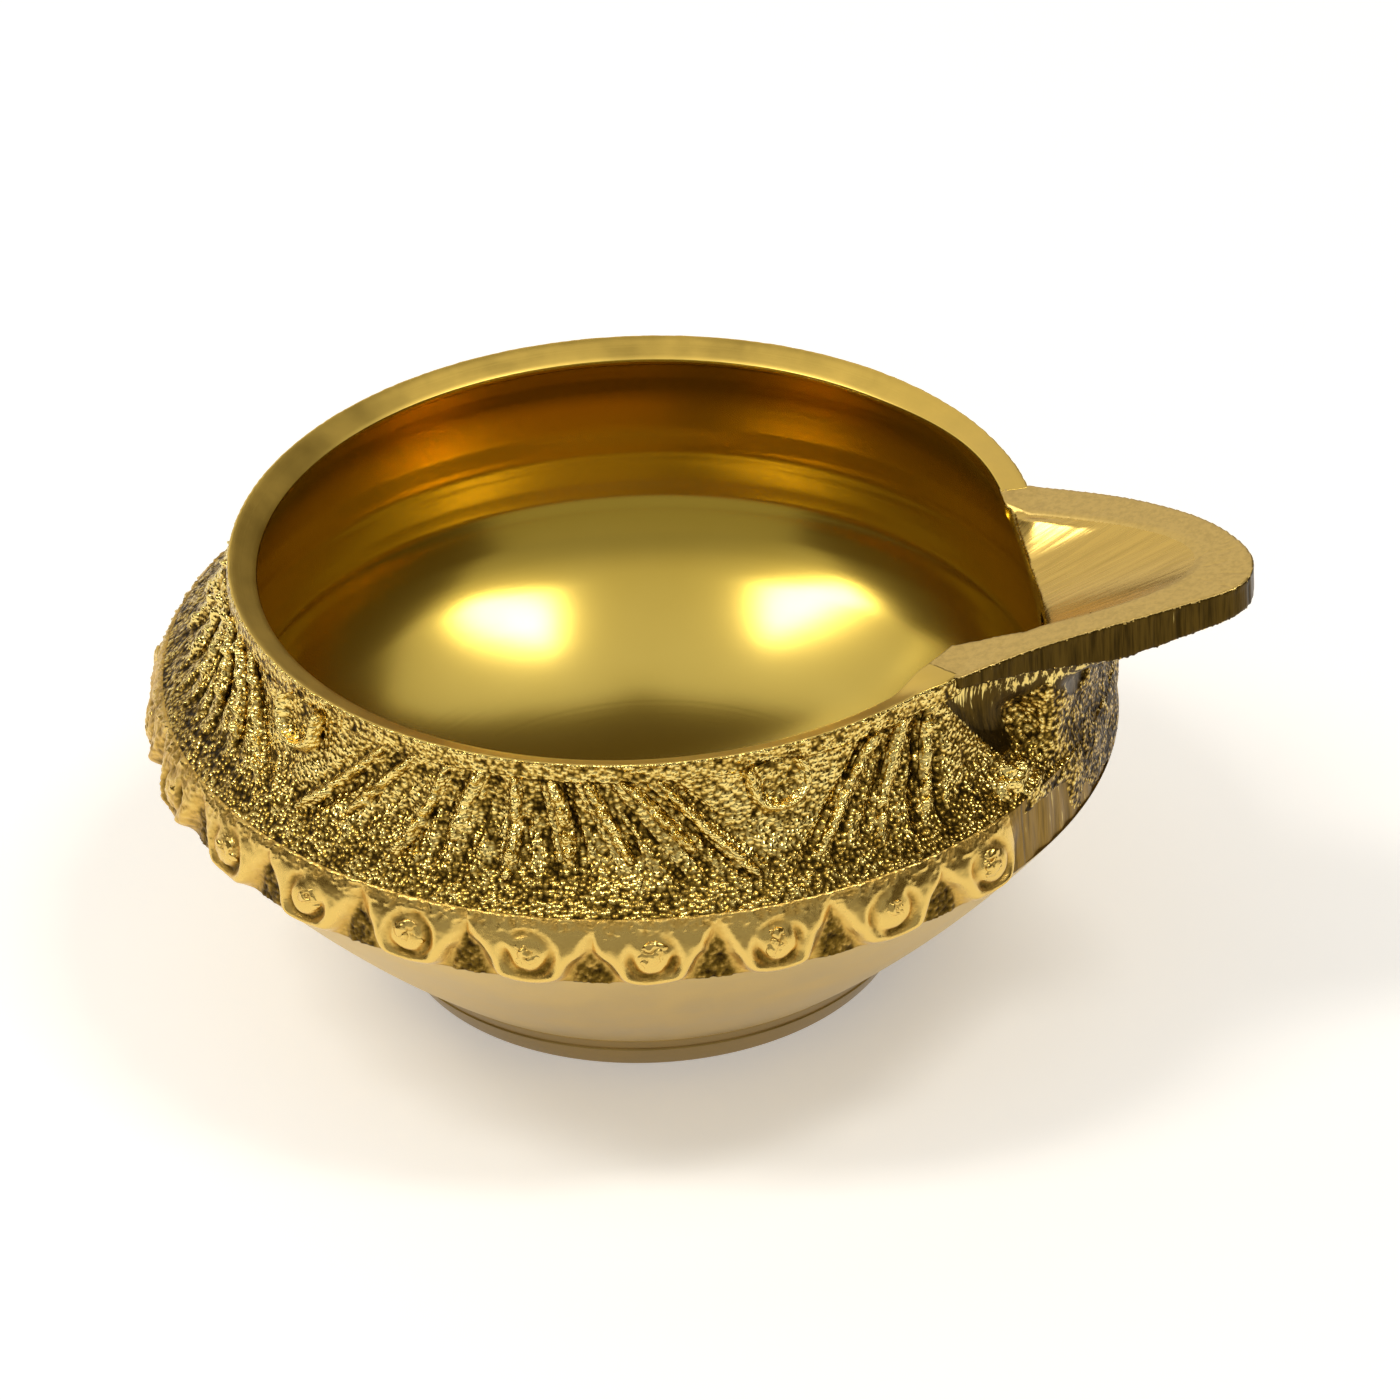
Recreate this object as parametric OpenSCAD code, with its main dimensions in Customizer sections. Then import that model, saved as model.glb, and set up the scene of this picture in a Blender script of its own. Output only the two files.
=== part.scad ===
// Small brass oil lamp (diya): one casting, turned inside and below and filed at the spout.
// Each module is one section of the casting, parted where its form or its finish changes.
// The foot stands on Z = 0, the turning axis is Z and the spout points along +X.

/* [Foot and cone] */
// Diameter of the foot where it stands
foot_bottom_d = 33.4; // [26:0.1:42]
// Diameter of the foot at its upper edge
foot_top_d = 37.2; // [30:0.1:46]
// Height of the foot
foot_h = 3.2; // [2:0.1:5]
// Height of the turned cone between the foot and the belt
cone_h = 13.8; // [10:0.1:18]
// How far the cone swells out at its middle
cone_swell = 0.5; // [0.1:0.05:1]

/* [Belt and petals] */
// Height of the belt that carries the petals
belt_h = 4.7; // [3.8:0.1:6]
// How far the belt's lower edge stands out past its upper edge
belt_lean = 0.2; // [0:0.05:0.5]
// How far the petals stand out from the belt
petal_proud = 1.2; // [0.6:0.05:1.8]
// Petals in a full round, counting those that were ground off under the spout
petal_count = 25; // [16:1:28]
// How far the petals stand out at their upper and lower edges
petal_edge = 0.35; // [0.1:0.05:0.5]
// Height over which the petals round off to those edges
petal_edge_h = 1.3; // [0.6:0.1:1.7]
// Width of the notch between two petals at its lower end
petal_notch_w = 2.6; // [1:0.1:3.4]
// Height of that notch
petal_notch_h = 3.2; // [2:0.1:3.5]
// Turn of the petal ring from the spout's centre line, in degrees
petal_turn = -2.5; // [-7:0.5:7]
// Half of the angle under the spout where the petals were ground off
petal_gap_angle = 24; // [20:1:40]
// Diameter of the bead in each petal
bead_d = 2.6; // [1.6:0.1:3.2]
// How far a bead stands out from its petal
bead_proud = 0.5; // [0.2:0.05:0.9]

/* [Shoulder] */
// Height from the belt to the rim's outer edge
shoulder_h = 8.8; // [6:0.1:12]
// How far the shoulder flares out from the rim to the belt
shoulder_flare = 4.8; // [3:0.1:7]

/* [Rim] */
// Outer diameter of the rim
rim_d = 54; // [44:0.5:66]
// Width of the lip that was turned on the rim
lip_w = 2; // [1.4:0.1:3]
// Drop of the lip from its outer edge to its inner edge
lip_drop = 0.9; // [0.3:0.05:1.2]
// Height of the lip section at its outer edge
lip_h = 1.4; // [1.4:0.1:3]

/* [Inside of the bowl] */
// Metal left between the inside and the belt
belly_wall = 3.6; // [2.5:0.1:5]
// Thickness of the metal at the middle of the floor
floor_t = 4.5; // [3.6:0.1:7]

/* [Spout] */
// Length of the spout past the rim's outer edge
spout_l = 15.3; // [12:0.1:20]
// Radius of the spout's rounded tip
spout_tip_r = 6.6; // [5:0.1:8.5]
// Taper of each side of the spout, in degrees
spout_taper = 22; // [15:0.5:26]
// Rise of the spout's top towards its tip, in degrees
spout_rise = 11.3; // [4:0.1:16]
// Slope of the spout's underside, in degrees
spout_under = 16; // [10:0.5:22]
// Thickness of the spout's edge at the tip
spout_edge_t = 2.2; // [1.8:0.1:4]
// Depth of the trough where it enters the bowl
trough_depth = 2.8; // [1.4:0.1:3]
// Radius of the trough's round bottom
trough_r = 14; // [10:0.5:20]
// Metal left in front of the trough at the tip
trough_end_w = 4.6; // [3:0.1:8]
// How far the trough's edge is cut back from the bowl's mouth
mouth_set = 3.4; // [1:0.1:4]
// Width of that cut across the mouth
mouth_w = 17; // [12:0.5:20]
// Height of the upright land under the trough's edge
mouth_land = 0.3; // [0.2:0.05:0.6]
// How far the throat stays back from the belt's edge
throat_inset = 0.5; // [0.3:0.1:1.5]
// Half of the angle that the throat takes up under the spout
throat_angle = 15; // [10:0.5:17]

/* [Leaf relief] */
// Leaf fans in a full round
fan_count = 5; // [4:1:6]
// Ribs in each fan
fan_ribs = 9; // [5:2:11]
// Turn of the first fan's middle rib from the spout, in degrees
fan_turn = -20.5; // [-36:0.5:36]
// Width of a rib
rib_w = 1.3; // [0.8:0.1:1.8]
// How far the ends of a rib stand out from the shoulder
rib_proud = 0.3; // [0.1:0.05:0.5]
// Height of the ribs' lower ends above the belt
rib_foot_h = 1.9; // [1.2:0.1:3]
// Distance of the ribs' upper ends below the lip
rib_head_gap = 0.3; // [0.2:0.1:1.2]
// Share of the fan's angle that the ribs' upper ends take up
rib_gather = 0.62; // [0.5:0.01:0.8]
// Half of the angle at the spout that carries no relief
relief_gap_angle = 29; // [26:0.5:40]
// Width of the drop that hangs between two fans
drop_w = 2.2; // [1.4:0.1:2.4]
// Length of that drop
drop_l = 3.4; // [2.8:0.1:4.2]

/* [Hidden] */
$fn = 96;
// Extra length that carries a cutting shape past the face it cuts
past = 1;

// Heights of the joints between the sections, from the ground up
belt_z = foot_h + cone_h;
belt_top_z = belt_z + belt_h;
rim_z = belt_top_z + shoulder_h;
lip_z = rim_z - lip_h;

// Radii from the rim outwards
rim_r = rim_d / 2;
mouth_r = rim_r - lip_w;
belt_top_r = rim_r + shoulder_flare;
belt_bottom_r = belt_top_r + belt_lean;
petal_r = belt_top_r + petal_proud;
bead_r = bead_d / 2;

// The cone swells a little: its profile is an arc from the foot's upper edge to the belt
foot_r = foot_top_d / 2;
cone_chord = norm([belt_bottom_r - foot_r, cone_h]);
cone_out = [cone_h, foot_r - belt_bottom_r] / cone_chord;
cone_arc_r = (cone_chord * cone_chord / 4 + cone_swell * cone_swell) / (2 * cone_swell);
cone_arc_at = [(foot_r + belt_bottom_r) / 2, foot_h + cone_h / 2] - cone_out * (cone_arc_r - cone_swell);

// The shoulder is hollow in profile: a circle that runs upright at the rim and passes the belt's top
flare_r = (shoulder_flare * shoulder_flare + shoulder_h * shoulder_h) / (2 * shoulder_flare);
function shoulder_r(z) = rim_r + flare_r - sqrt(flare_r * flare_r - (rim_z - z) * (rim_z - z));

// The inside widens below the mouth to the belly at the belt, and its floor is a part of a sphere
belly_r = belt_top_r - belly_wall;
mouth_z = rim_z - lip_drop;
floor_depth = belt_z - floor_t;
floor_r = (belly_r * belly_r + floor_depth * floor_depth) / (2 * floor_depth);

// Spout: its top starts to rise inside the rim, and its sides run tangent to the round tip
spout_start_x = rim_r - lip_w;
tip_x = rim_r + spout_l;
tip_centre_x = tip_x - spout_tip_r;
tip_top_z = rim_z + (tip_x - spout_start_x) * tan(spout_rise);
tip_under_z = tip_top_z - spout_edge_t;
// The block starts well inside the mouth, where its corners lie past the lip
root_angle = 45;
root_x = mouth_r * cos(root_angle);
function side_y(x) = (spout_tip_r + (tip_centre_x - x) * sin(spout_taper)) / cos(spout_taper);
function top_z(x) = rim_z + max(0, x - spout_start_x) * tan(spout_rise);
function under_z(x) = tip_under_z - (tip_x - x) * tan(spout_under);

// Trough: a round groove that comes to nothing short of the tip
trough_end_x = tip_x - trough_end_w;
trough_slope = spout_rise + atan(trough_depth / (trough_end_x - mouth_r));
function trough_z(x) = top_z(trough_end_x) - (trough_end_x - x) * tan(trough_slope);

// The trough's edge at the bowl: an arc that is set back most on the centre line
mouth_half = mouth_w / 2;
mouth_mid_x = mouth_r + mouth_set;
mouth_reach = mouth_mid_x - sqrt(mouth_r * mouth_r - mouth_half * mouth_half);
mouth_arc_r = (mouth_reach * mouth_reach + mouth_half * mouth_half) / (2 * mouth_reach);
mouth_edge_z = trough_z(mouth_mid_x) - mouth_land;

// Petal ring
petal_step = 360 / petal_count;
petal_low_z = belt_z + petal_edge_h;
petal_high_z = belt_top_z - petal_edge_h;
bead_z = (petal_low_z + petal_high_z) / 2;

// Leaf fans, whose ribs run straight down the shoulder from a close gathering at the lip
fan_step = 360 / fan_count;
rib_step = fan_step / fan_ribs;
rib_r = rib_w / 2;
rib_head_z = lip_z - rib_head_gap;
rib_foot_z = belt_top_z + rib_foot_h;
drop_r = drop_w / 2;
// A drop leans with the shoulder's upper half
drop_lean = atan(shoulder_flare / shoulder_h) / 2;

// True where an angle lies outside the given half angle about the spout
function clear_of_spout(a, half) = abs((a + 540) % 360 - 180) >= half;

// A point at radius r, angle a and height z
function at(r, a, z) = [r * cos(a), r * sin(a), z];

module cavity() {
    rotate_extrude()
    polygon([[0, belt_z], [belly_r, belt_z], [belly_r, belt_top_z],
             [mouth_r, mouth_z], [mouth_r, rim_z + past], [0, rim_z + past]]);
    intersection() {
        translate([0, 0, floor_t + floor_r])
        sphere(r = floor_r, $fn = 192);
        cylinder(r = belly_r, h = belt_z);
    }
}

// A solid of revolution with the shoulder's hollow profile, between two heights
module shoulder_round(z0, z1) {
    rotate_extrude()
    difference() {
        translate([0, z0])
        square([belt_top_r, z1 - z0]);
        translate([rim_r + flare_r, rim_z])
        circle(r = flare_r, $fn = 192);
    }
}

// The shoulder's surface as a cutting shape, for what stands on it
module shoulder_skin() {
    shoulder_round(belt_top_z - past, rim_z + past, $fn = 192);
}

// The spout before its trough is cut, with a root that replaces the lip
module spout_block() {
    intersection() {
        translate([0, 0, belt_top_z])
        linear_extrude(tip_top_z - belt_top_z + past) {
            translate([tip_centre_x, 0])
            circle(r = spout_tip_r);
            tangent_x = tip_centre_x + spout_tip_r * sin(spout_taper);
            polygon([[root_x, -side_y(root_x)], [tangent_x, -side_y(tangent_x)],
                     [tangent_x, side_y(tangent_x)], [root_x, side_y(root_x)]]);
        }
        half_w = side_y(root_x) + past;
        translate([0, half_w, 0])
        rotate([90, 0, 0])
        linear_extrude(2 * half_w)
        polygon([[root_x, under_z(root_x)], [tip_x + past, under_z(tip_x + past)],
                 [tip_x + past, top_z(tip_x + past)], [spout_start_x, rim_z], [root_x, rim_z]]);
    }
}

module trough_cut() {
    cut_l = tip_x;
    translate([trough_end_x, 0, top_z(trough_end_x)])
    rotate([0, -trough_slope, 0])
    translate([-cut_l, 0, trough_r])
    rotate([0, 90, 0])
    cylinder(r = trough_r, h = cut_l);
}

// The cut that opens the trough into the bowl: upright above the trough's edge, sloping in below it
module mouth_cut() {
    translate([mouth_mid_x - mouth_arc_r, 0, mouth_edge_z])
    rotate_extrude()
    polygon([[0, -mouth_set], [mouth_arc_r - mouth_set, -mouth_set], [mouth_arc_r, 0],
             [mouth_arc_r, tip_top_z], [0, tip_top_z]]);
}

// A straight rod from p to q, turned in one with its round end at q
module rod(p, q, r) {
    d = q - p;
    translate(p)
    rotate([0, acos(d.z / norm(d)), atan2(d.y, d.x)])
    rotate_extrude($fn = 48)
    intersection() {
        union() {
            square([r, norm(d)]);
            translate([0, norm(d)])
            circle(r = r, $fn = 48);
        }
        square([r + past, norm(d) + r + past]);
    }
}

module foot() {
    color("#8a6a2c")
    cylinder(r1 = foot_bottom_d / 2, r2 = foot_r, h = foot_h);
}

module bowl() {
    color("#b8913f")
    difference() {
        rotate_extrude()
        intersection() {
            translate([0, foot_h])
            square([belt_bottom_r, cone_h]);
            translate(cone_arc_at)
            circle(r = cone_arc_r, $fn = 720);
        }
        cavity();
    }
}

module belt() {
    color("#c9a24a")
    difference() {
        translate([0, 0, belt_z])
        cylinder(r1 = belt_bottom_r, r2 = belt_top_r, h = belt_h);
        cavity();
    }
}

// The petals are one raised ring on the belt, notched between the petals and ground off under the spout
module petal_band() {
    notch_half = petal_notch_w / 2 * (petal_notch_h + past) / petal_notch_h;
    color("#d8b255")
    difference() {
        rotate([0, 0, petal_gap_angle])
        rotate_extrude(angle = 360 - 2 * petal_gap_angle)
        polygon([[belt_bottom_r, belt_z], [belt_bottom_r + petal_edge, belt_z], [petal_r, petal_low_z],
                 [petal_r, petal_high_z], [belt_top_r + petal_edge, belt_top_z], [belt_top_r, belt_top_z]]);
        for (i = [0 : petal_count - 1])
            let (a = petal_turn + (i + 0.5) * petal_step)
            if (clear_of_spout(a, petal_gap_angle))
                rotate([0, 0, a])
                translate([belt_top_r - past, 0, 0])
                rotate([90, 0, 90])
                linear_extrude(petal_proud + 2 * past)
                polygon([[-notch_half, belt_z - past], [notch_half, belt_z - past],
                         [0, belt_z + petal_notch_h]]);
    }
}

module beads() {
    color("#e0bd62")
    for (i = [0 : petal_count - 1])
        let (a = petal_turn + i * petal_step)
        if (clear_of_spout(a, petal_gap_angle + petal_step / 2))
            difference() {
                translate(at(petal_r + bead_proud - bead_r, a, bead_z))
                sphere(r = bead_r, $fn = 64);
                translate([0, 0, belt_z])
                cylinder(r = petal_r, h = belt_h, $fn = 720);
            }
}

module shoulder() {
    color("#a07c34")
    difference() {
        shoulder_round(belt_top_z, lip_z);
        cavity();
        spout_block();
        mouth_cut();
    }
}

module leaf_ribs() {
    sink = rib_r - rib_proud;
    color("#b98f3c")
    for (f = [0 : fan_count - 1])
        for (i = [0 : fan_ribs - 1]) {
            middle = fan_turn + f * fan_step;
            spread = (i - (fan_ribs - 1) / 2) * rib_step;
            head_a = middle + spread * rib_gather;
            foot_a = middle + spread;
            if (clear_of_spout(head_a, relief_gap_angle) && clear_of_spout(foot_a, relief_gap_angle))
                difference() {
                    rod(at(shoulder_r(rib_head_z) - sink, head_a, rib_head_z),
                        at(shoulder_r(rib_foot_z) - sink, foot_a, rib_foot_z), rib_r);
                    shoulder_skin();
                }
        }
}

// A drop hangs between two fans: a ball drawn out to a point at the lip
module rim_drops() {
    drop_z = rib_head_z - drop_l + drop_r;
    color("#b98f3c")
    difference() {
        for (f = [0 : fan_count - 1])
            let (a = fan_turn + (f + 0.5) * fan_step)
            if (clear_of_spout(a, relief_gap_angle))
                rotate([0, 0, a])
                translate([shoulder_r(drop_z) - drop_r / 2, 0, drop_z])
                rotate([0, -drop_lean, 0])
                drop();
        shoulder_skin();
    }
}

module drop() {
    tip = drop_l - drop_r;
    t = asin(drop_r / tip);
    rotate_extrude($fn = 48)
    intersection() {
        union() {
            circle(r = drop_r, $fn = 48);
            polygon([[0, 0], [drop_r * cos(t), drop_r * sin(t)], [0, tip]]);
        }
        translate([0, -drop_r - past])
        square([drop_r + past, drop_l + 2 * past]);
    }
}

module rim_lip() {
    color("#c4a04c")
    difference() {
        shoulder_round(lip_z, rim_z);
        cavity();
        translate([0, 0, mouth_z])
        cylinder(r1 = mouth_r, r2 = rim_r, h = lip_drop);
        spout_block();
    }
}

module spout() {
    color("#c9a552")
    difference() {
        spout_block();
        cavity();
        trough_cut();
        mouth_cut();
    }
}

// The web of metal that carries the spout on the shoulder
module spout_throat() {
    throat_r = belt_top_r - throat_inset;
    wedge_r = throat_r / cos(throat_angle) + past;
    color("#96742f")
    difference() {
        intersection() {
            translate([0, 0, belt_top_z])
            cylinder(r = throat_r, h = shoulder_h);
            translate([0, 0, belt_top_z])
            linear_extrude(shoulder_h)
            polygon([[0, 0], wedge_r * [cos(throat_angle), -sin(throat_angle)],
                     wedge_r * [cos(throat_angle), sin(throat_angle)]]);
        }
        shoulder_skin();
        spout_block();
        mouth_cut();
    }
}

foot();
bowl();
belt();
petal_band();
beads();
shoulder();
leaf_ribs();
rim_drops();
rim_lip();
spout();
spout_throat();
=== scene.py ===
"""A small cast brass oil lamp: turned bowl, cast shoulder, petal belt and filed spout, on a pale floor."""
import math
import random
from functools import partial

import bmesh
import bpy
from mathutils import Matrix, Vector, noise


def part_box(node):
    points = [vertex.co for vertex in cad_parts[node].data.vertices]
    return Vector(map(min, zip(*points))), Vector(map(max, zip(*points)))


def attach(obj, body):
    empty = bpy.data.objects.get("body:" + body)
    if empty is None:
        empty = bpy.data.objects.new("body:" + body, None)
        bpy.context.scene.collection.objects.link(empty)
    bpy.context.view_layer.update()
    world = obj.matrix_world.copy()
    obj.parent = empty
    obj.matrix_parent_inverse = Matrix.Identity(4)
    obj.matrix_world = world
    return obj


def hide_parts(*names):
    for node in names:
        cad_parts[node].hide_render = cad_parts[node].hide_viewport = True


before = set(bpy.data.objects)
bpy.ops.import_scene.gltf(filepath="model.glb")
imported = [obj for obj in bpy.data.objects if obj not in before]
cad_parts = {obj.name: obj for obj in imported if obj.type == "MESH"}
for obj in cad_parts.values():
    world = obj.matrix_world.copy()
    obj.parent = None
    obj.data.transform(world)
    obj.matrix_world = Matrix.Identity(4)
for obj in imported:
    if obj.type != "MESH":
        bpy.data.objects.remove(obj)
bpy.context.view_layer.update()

bl_info = {
    "name": "Brass oil lamp",
    "version": (1, 0, 0),
    "blender": (4, 5, 0),
    "location": "3D View > Sidebar > Oil lamp",
    "description": "Models the sections of a cast brass oil lamp and lights it in a small studio",
    "category": "Object",
}

MM = 0.001

# Heights and radii of the sections, in millimetres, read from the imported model
FOOT_R, _, FOOT_TOP = (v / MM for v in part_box("foot")[1])
BELT_R, _, BELT_TOP = (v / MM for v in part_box("belt")[1])
BELT_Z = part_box("belt")[0].z / MM
LIP_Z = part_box("rim_lip")[0].z / MM
RIM_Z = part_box("rim_lip")[1].z / MM
TIP_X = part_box("spout")[1].x / MM
SHOULDER_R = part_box("shoulder")[1].y / MM
# A height that is clear of the whole lamp
CLEAR_Z = RIM_Z + 8

# Lengths of the lamp that no box gives, in millimetres
FOOT_BOTTOM_R = 16.7
TOOL_LINE_Z = 1.9
RIM_R = 27.0
MOUTH_R = 25.0
MOUTH_Z = 29.6
BELLY_R = 28.2
FLOOR_Z = 4.5
UPRIGHT = 0.1
CONE_SWELL = 0.5
BAND_BACK = 0.4
PETAL_PROUD = 1.15
BEAD_Z = 19.35
BEAD_R = 1.3
BEAD_DEPTH = 0.75

# Marks of the lathe inside the bowl: faint waves that grow from one height to another, and two steps
WAVES_Z = (13, 17)
WAVE_PITCH = 0.75
STEPS_Z = (20.4, 17.4)
STEP_WIDTH = 0.22

# The spout's planes and its trough, a round groove that falls towards the bowl
SPOUT_RISE = math.tan(math.radians(11.3))
SPOUT_UNDER = math.tan(math.radians(16))
SPOUT_EDGE = 2.2
SPOUT_HALF = 9
SPOUT_BENDS_X = (MOUTH_R, 30, 34.5)
TROUGH_R = 14.0
TROUGH_SLOPE = math.radians(22.05)
TROUGH_END_X = 38.6
TROUGH_SIDE = 0.55
TROUGH_LENGTH = 60
TROUGH_BACK = 22
# Plan of the spout, filed by hand and so a little crooked: front root, tip, back root
SPOUT_PLAN = (
    (21.5, -10.9), (24.6, -12.5), (25.8, -11.6), (27.4, -10.45), (29.1, -9.35), (30.9, -8.4), (32.6, -7.6),
    (34.4, -6.8), (36.2, -6.05), (38.0, -5.2), (40.0, -4.3), (41.4, -3.5), (42.15, -2.5), (42.3, -1.2),
    (42.0, 0.4), (41.3, 1.8), (40.3, 3.2), (38.8, 4.9), (37.0, 6.45), (35.3, 7.6), (33.0, 8.9),
    (30.8, 9.95), (28.65, 10.75), (26.5, 11.5), (24.1, 12.2), (21.5, 10.9))
# The filed sides end at this height near the root, and a ground hollow runs on below them
SIDE_LOW_Z = 29.5
# Plan of the opening between trough and bowl, whose far side the file cut back less
MOUTH_PLAN = (
    (14.0, 9.6), (23.3, 9.5), (24.3, 7.8), (25.5, 5.5), (26.6, 3.3), (27.65, 0.6), (28.5, -2.2),
    (29.1, -4.6), (29.4, -6.5), (25.2, -7.4), (23.4, -8.6), (14.0, -9.0))
MOUTH_LOW_Z = 28.4
MOUTH_FOOT = 5.0
MOUTH_SET = 0.2
# The wall that the mouth cuts through ends before this place
MOUTH_WALL_X = 30.5
# The wedge that holds the web under the spout: its start in the wall, its end and its half width
WEB_START_X, WEB_END_X, WEB_SIDE = 19, 45, 17

# The relief's pattern, in degrees from the spout
PETALS = 25
PETAL_STEP = 360 / PETALS
PETAL_TURN = -2.5
PETAL_GAP = 24
FANS = 5
FAN_STEP = 360 / FANS
FAN_RIBS = 9
FAN_TURN = -20.5
RELIEF_GAP = 29
RIB_GATHER = 0.62
LIP_END = 25.5
# Half of the angle that the web under the spout takes up in the wall
WEB_HALF = 30
# The belt is ground up to the first angle, not at all from the second, and its finish changes at the third
BELT_GROUND = (20, 25, 24.5)

# The hollow of the shoulder's profile is an arc that stands upright at the rim
FLARE_RISE = RIM_Z - BELT_TOP
FLARE_OUT = SHOULDER_R - RIM_R
FLARE_R = (FLARE_OUT ** 2 + FLARE_RISE ** 2) / (2 * FLARE_OUT)

# A turned shape is spun in one of this many sectors, which is then copied round
SECTORS = 20


def length(name, about, default):
    """A size in millimetres as a length property."""
    return bpy.props.FloatProperty(name=name, description=about, default=default * MM, unit="LENGTH",
                                   precision=5)


def colour(name, about, default):
    """A colour property from an sRGB hex value."""
    return bpy.props.FloatVectorProperty(name=name, description=about, default=linear(default)[:3],
                                         subtype="COLOR", min=0, max=1)


def linear(text):
    """Turns an sRGB hex value into linear red, green, blue and alpha."""
    parts = [int(text[i:i + 2], 16) / 255 for i in (1, 3, 5)]
    return tuple(c / 12.92 if c <= 0.04045 else ((c + 0.055) / 1.055) ** 2.4 for c in parts) + (1.0,)


class LampSizes(bpy.types.PropertyGroup):
    """Sizes of the detail on the lamp's sections"""
    floor_round: length("Floor rounding", "Radius between the bowl's floor and its wall", 12)
    wall_round: length("Wall rounding", "Radius between the upright wall and its inward lean", 8)
    turned_step: length("Turned step", "Depth of the two steps that the lathe left inside", 0.1)
    lip_edge: length("Lip edge", "Rounding of the lip's edges", 0.18)
    grain: length("Casting grain", "Width of the sand's grain on the cast surfaces", 0.34)
    grain_height: length("Grain height", "Height of the sand's grain", 0.075)
    rib_width: length("Rib width", "Width of a leaf rib", 1.3)
    rib_height: length("Rib height", "How far a leaf rib stands out", 0.55)
    notch_width: length("Petal notch", "Width of the notch between two petals at its foot", 2.0)
    notch_height: length("Notch height", "Height of the notch between two petals", 2.9)
    bead_height: length("Bead height", "How far a bead stands out of its petal", 0.2)
    file_line: length("File lines", "Spacing of the file's scratches", 0.45)
    nick_depth: length("Nicks", "Depth of the nicks across the spout's edge", 0.04)


class LampColours(bpy.types.PropertyGroup):
    """Colours of the lamp's finishes and its stage"""
    mirror: colour("Buffed brass", "Brass where it was buffed bright", "#f1d36a")
    # Painted shade: the wall's brass is a darker, browner copy of the buffed brass, for the dark reflections
    # on the wall
    wall: colour("Wall brass", "Brass of the bowl's wall", "#d0b044")
    # Painted sheen: the lip's brass is a brighter, yellower copy of the turned brass, for the light it
    # catches from above
    lip: colour("Wiped brass", "Brass of the lip, turned and wiped", "#ecc964")
    turned: colour("Turned brass", "Brass as the lathe left it", "#d3b771")
    # Painted shade: the foot's brass is a darker copy of the turned brass, for the shadowed floor that the
    # foot faces
    foot: colour("Turned brass, dull", "Brass of the foot, dulled by handling", "#a58a50")
    # Also the colour of the painted glints on the filed sides and on the ground place under the spout
    cast_high: colour("Cast brass, high", "Grain tops of the cast surface", "#f4da82")
    cast_low: colour("Cast brass, low", "Hollows of the cast surface", "#765c1f")
    filed: colour("Filed brass", "Brass as the file left it", "#dcbc6e")
    # Painted shade: the filed sides and hollows get this darker brass for the shade on them
    filed_painted_shade: colour("Filed brass, dull", "Filed sides that kept their tarnish", "#4e3c15")
    ground: colour("Ground brass", "The place under the spout where the band was ground off", "#8a6c2a")
    petal: colour("Buffed casting", "High places of the petals", "#e2c06a")
    trough: colour("Brushed brass", "Brass of the trough", "#dfbc66")
    floor: colour("Floor", "The pale floor", "#f6f5f3")


def shoulder_r(z):
    """Radius of the shoulder's outside at a height."""
    return RIM_R + FLARE_R - math.sqrt(FLARE_R ** 2 - (RIM_Z - z) ** 2)


def shoulder_out(z):
    """Outward direction of the shoulder's outside at a height, as radius and height."""
    return Vector((math.sqrt(FLARE_R ** 2 - (RIM_Z - z) ** 2), RIM_Z - z)).normalized()


def polar(r, angle, z):
    """A point from its radius, its angle in radians and its height."""
    return Vector((r * math.cos(angle), r * math.sin(angle), z))


def bearing(co):
    """Angle of a point about the lamp's axis, in degrees from the spout."""
    return math.degrees(math.atan2(co.y, co.x))


def from_spout(degrees):
    """Angle between a direction and the spout, without its sign."""
    return abs((degrees + 540) % 360 - 180)


def smooth(a, b, x):
    """Rises from 0 at a to 1 at b with soft ends."""
    t = min(1.0, max(0.0, (x - a) / (b - a)))
    return t * t * (3 - 2 * t)


def share(x):
    """Keeps a share between 0 and 1."""
    return max(0.0, min(1.0, x))


def hump(x, width):
    """A soft hump of height 1 at 0 that falls off over a width."""
    return math.exp(-(x / width) ** 2)


def arc(centre, radius, start, end, steps):
    """Points of an arc in the profile's plane, angles in degrees."""
    turn = (end - start) / steps
    return [Vector((centre[0] + radius * math.cos(math.radians(start + i * turn)),
                    centre[1] + radius * math.sin(math.radians(start + i * turn)))) for i in range(steps + 1)]


def straight(start, end, steps):
    """Points of a straight stretch of a profile, with both ends."""
    return [Vector(start).lerp(Vector(end), i / steps) for i in range(steps + 1)]


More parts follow.
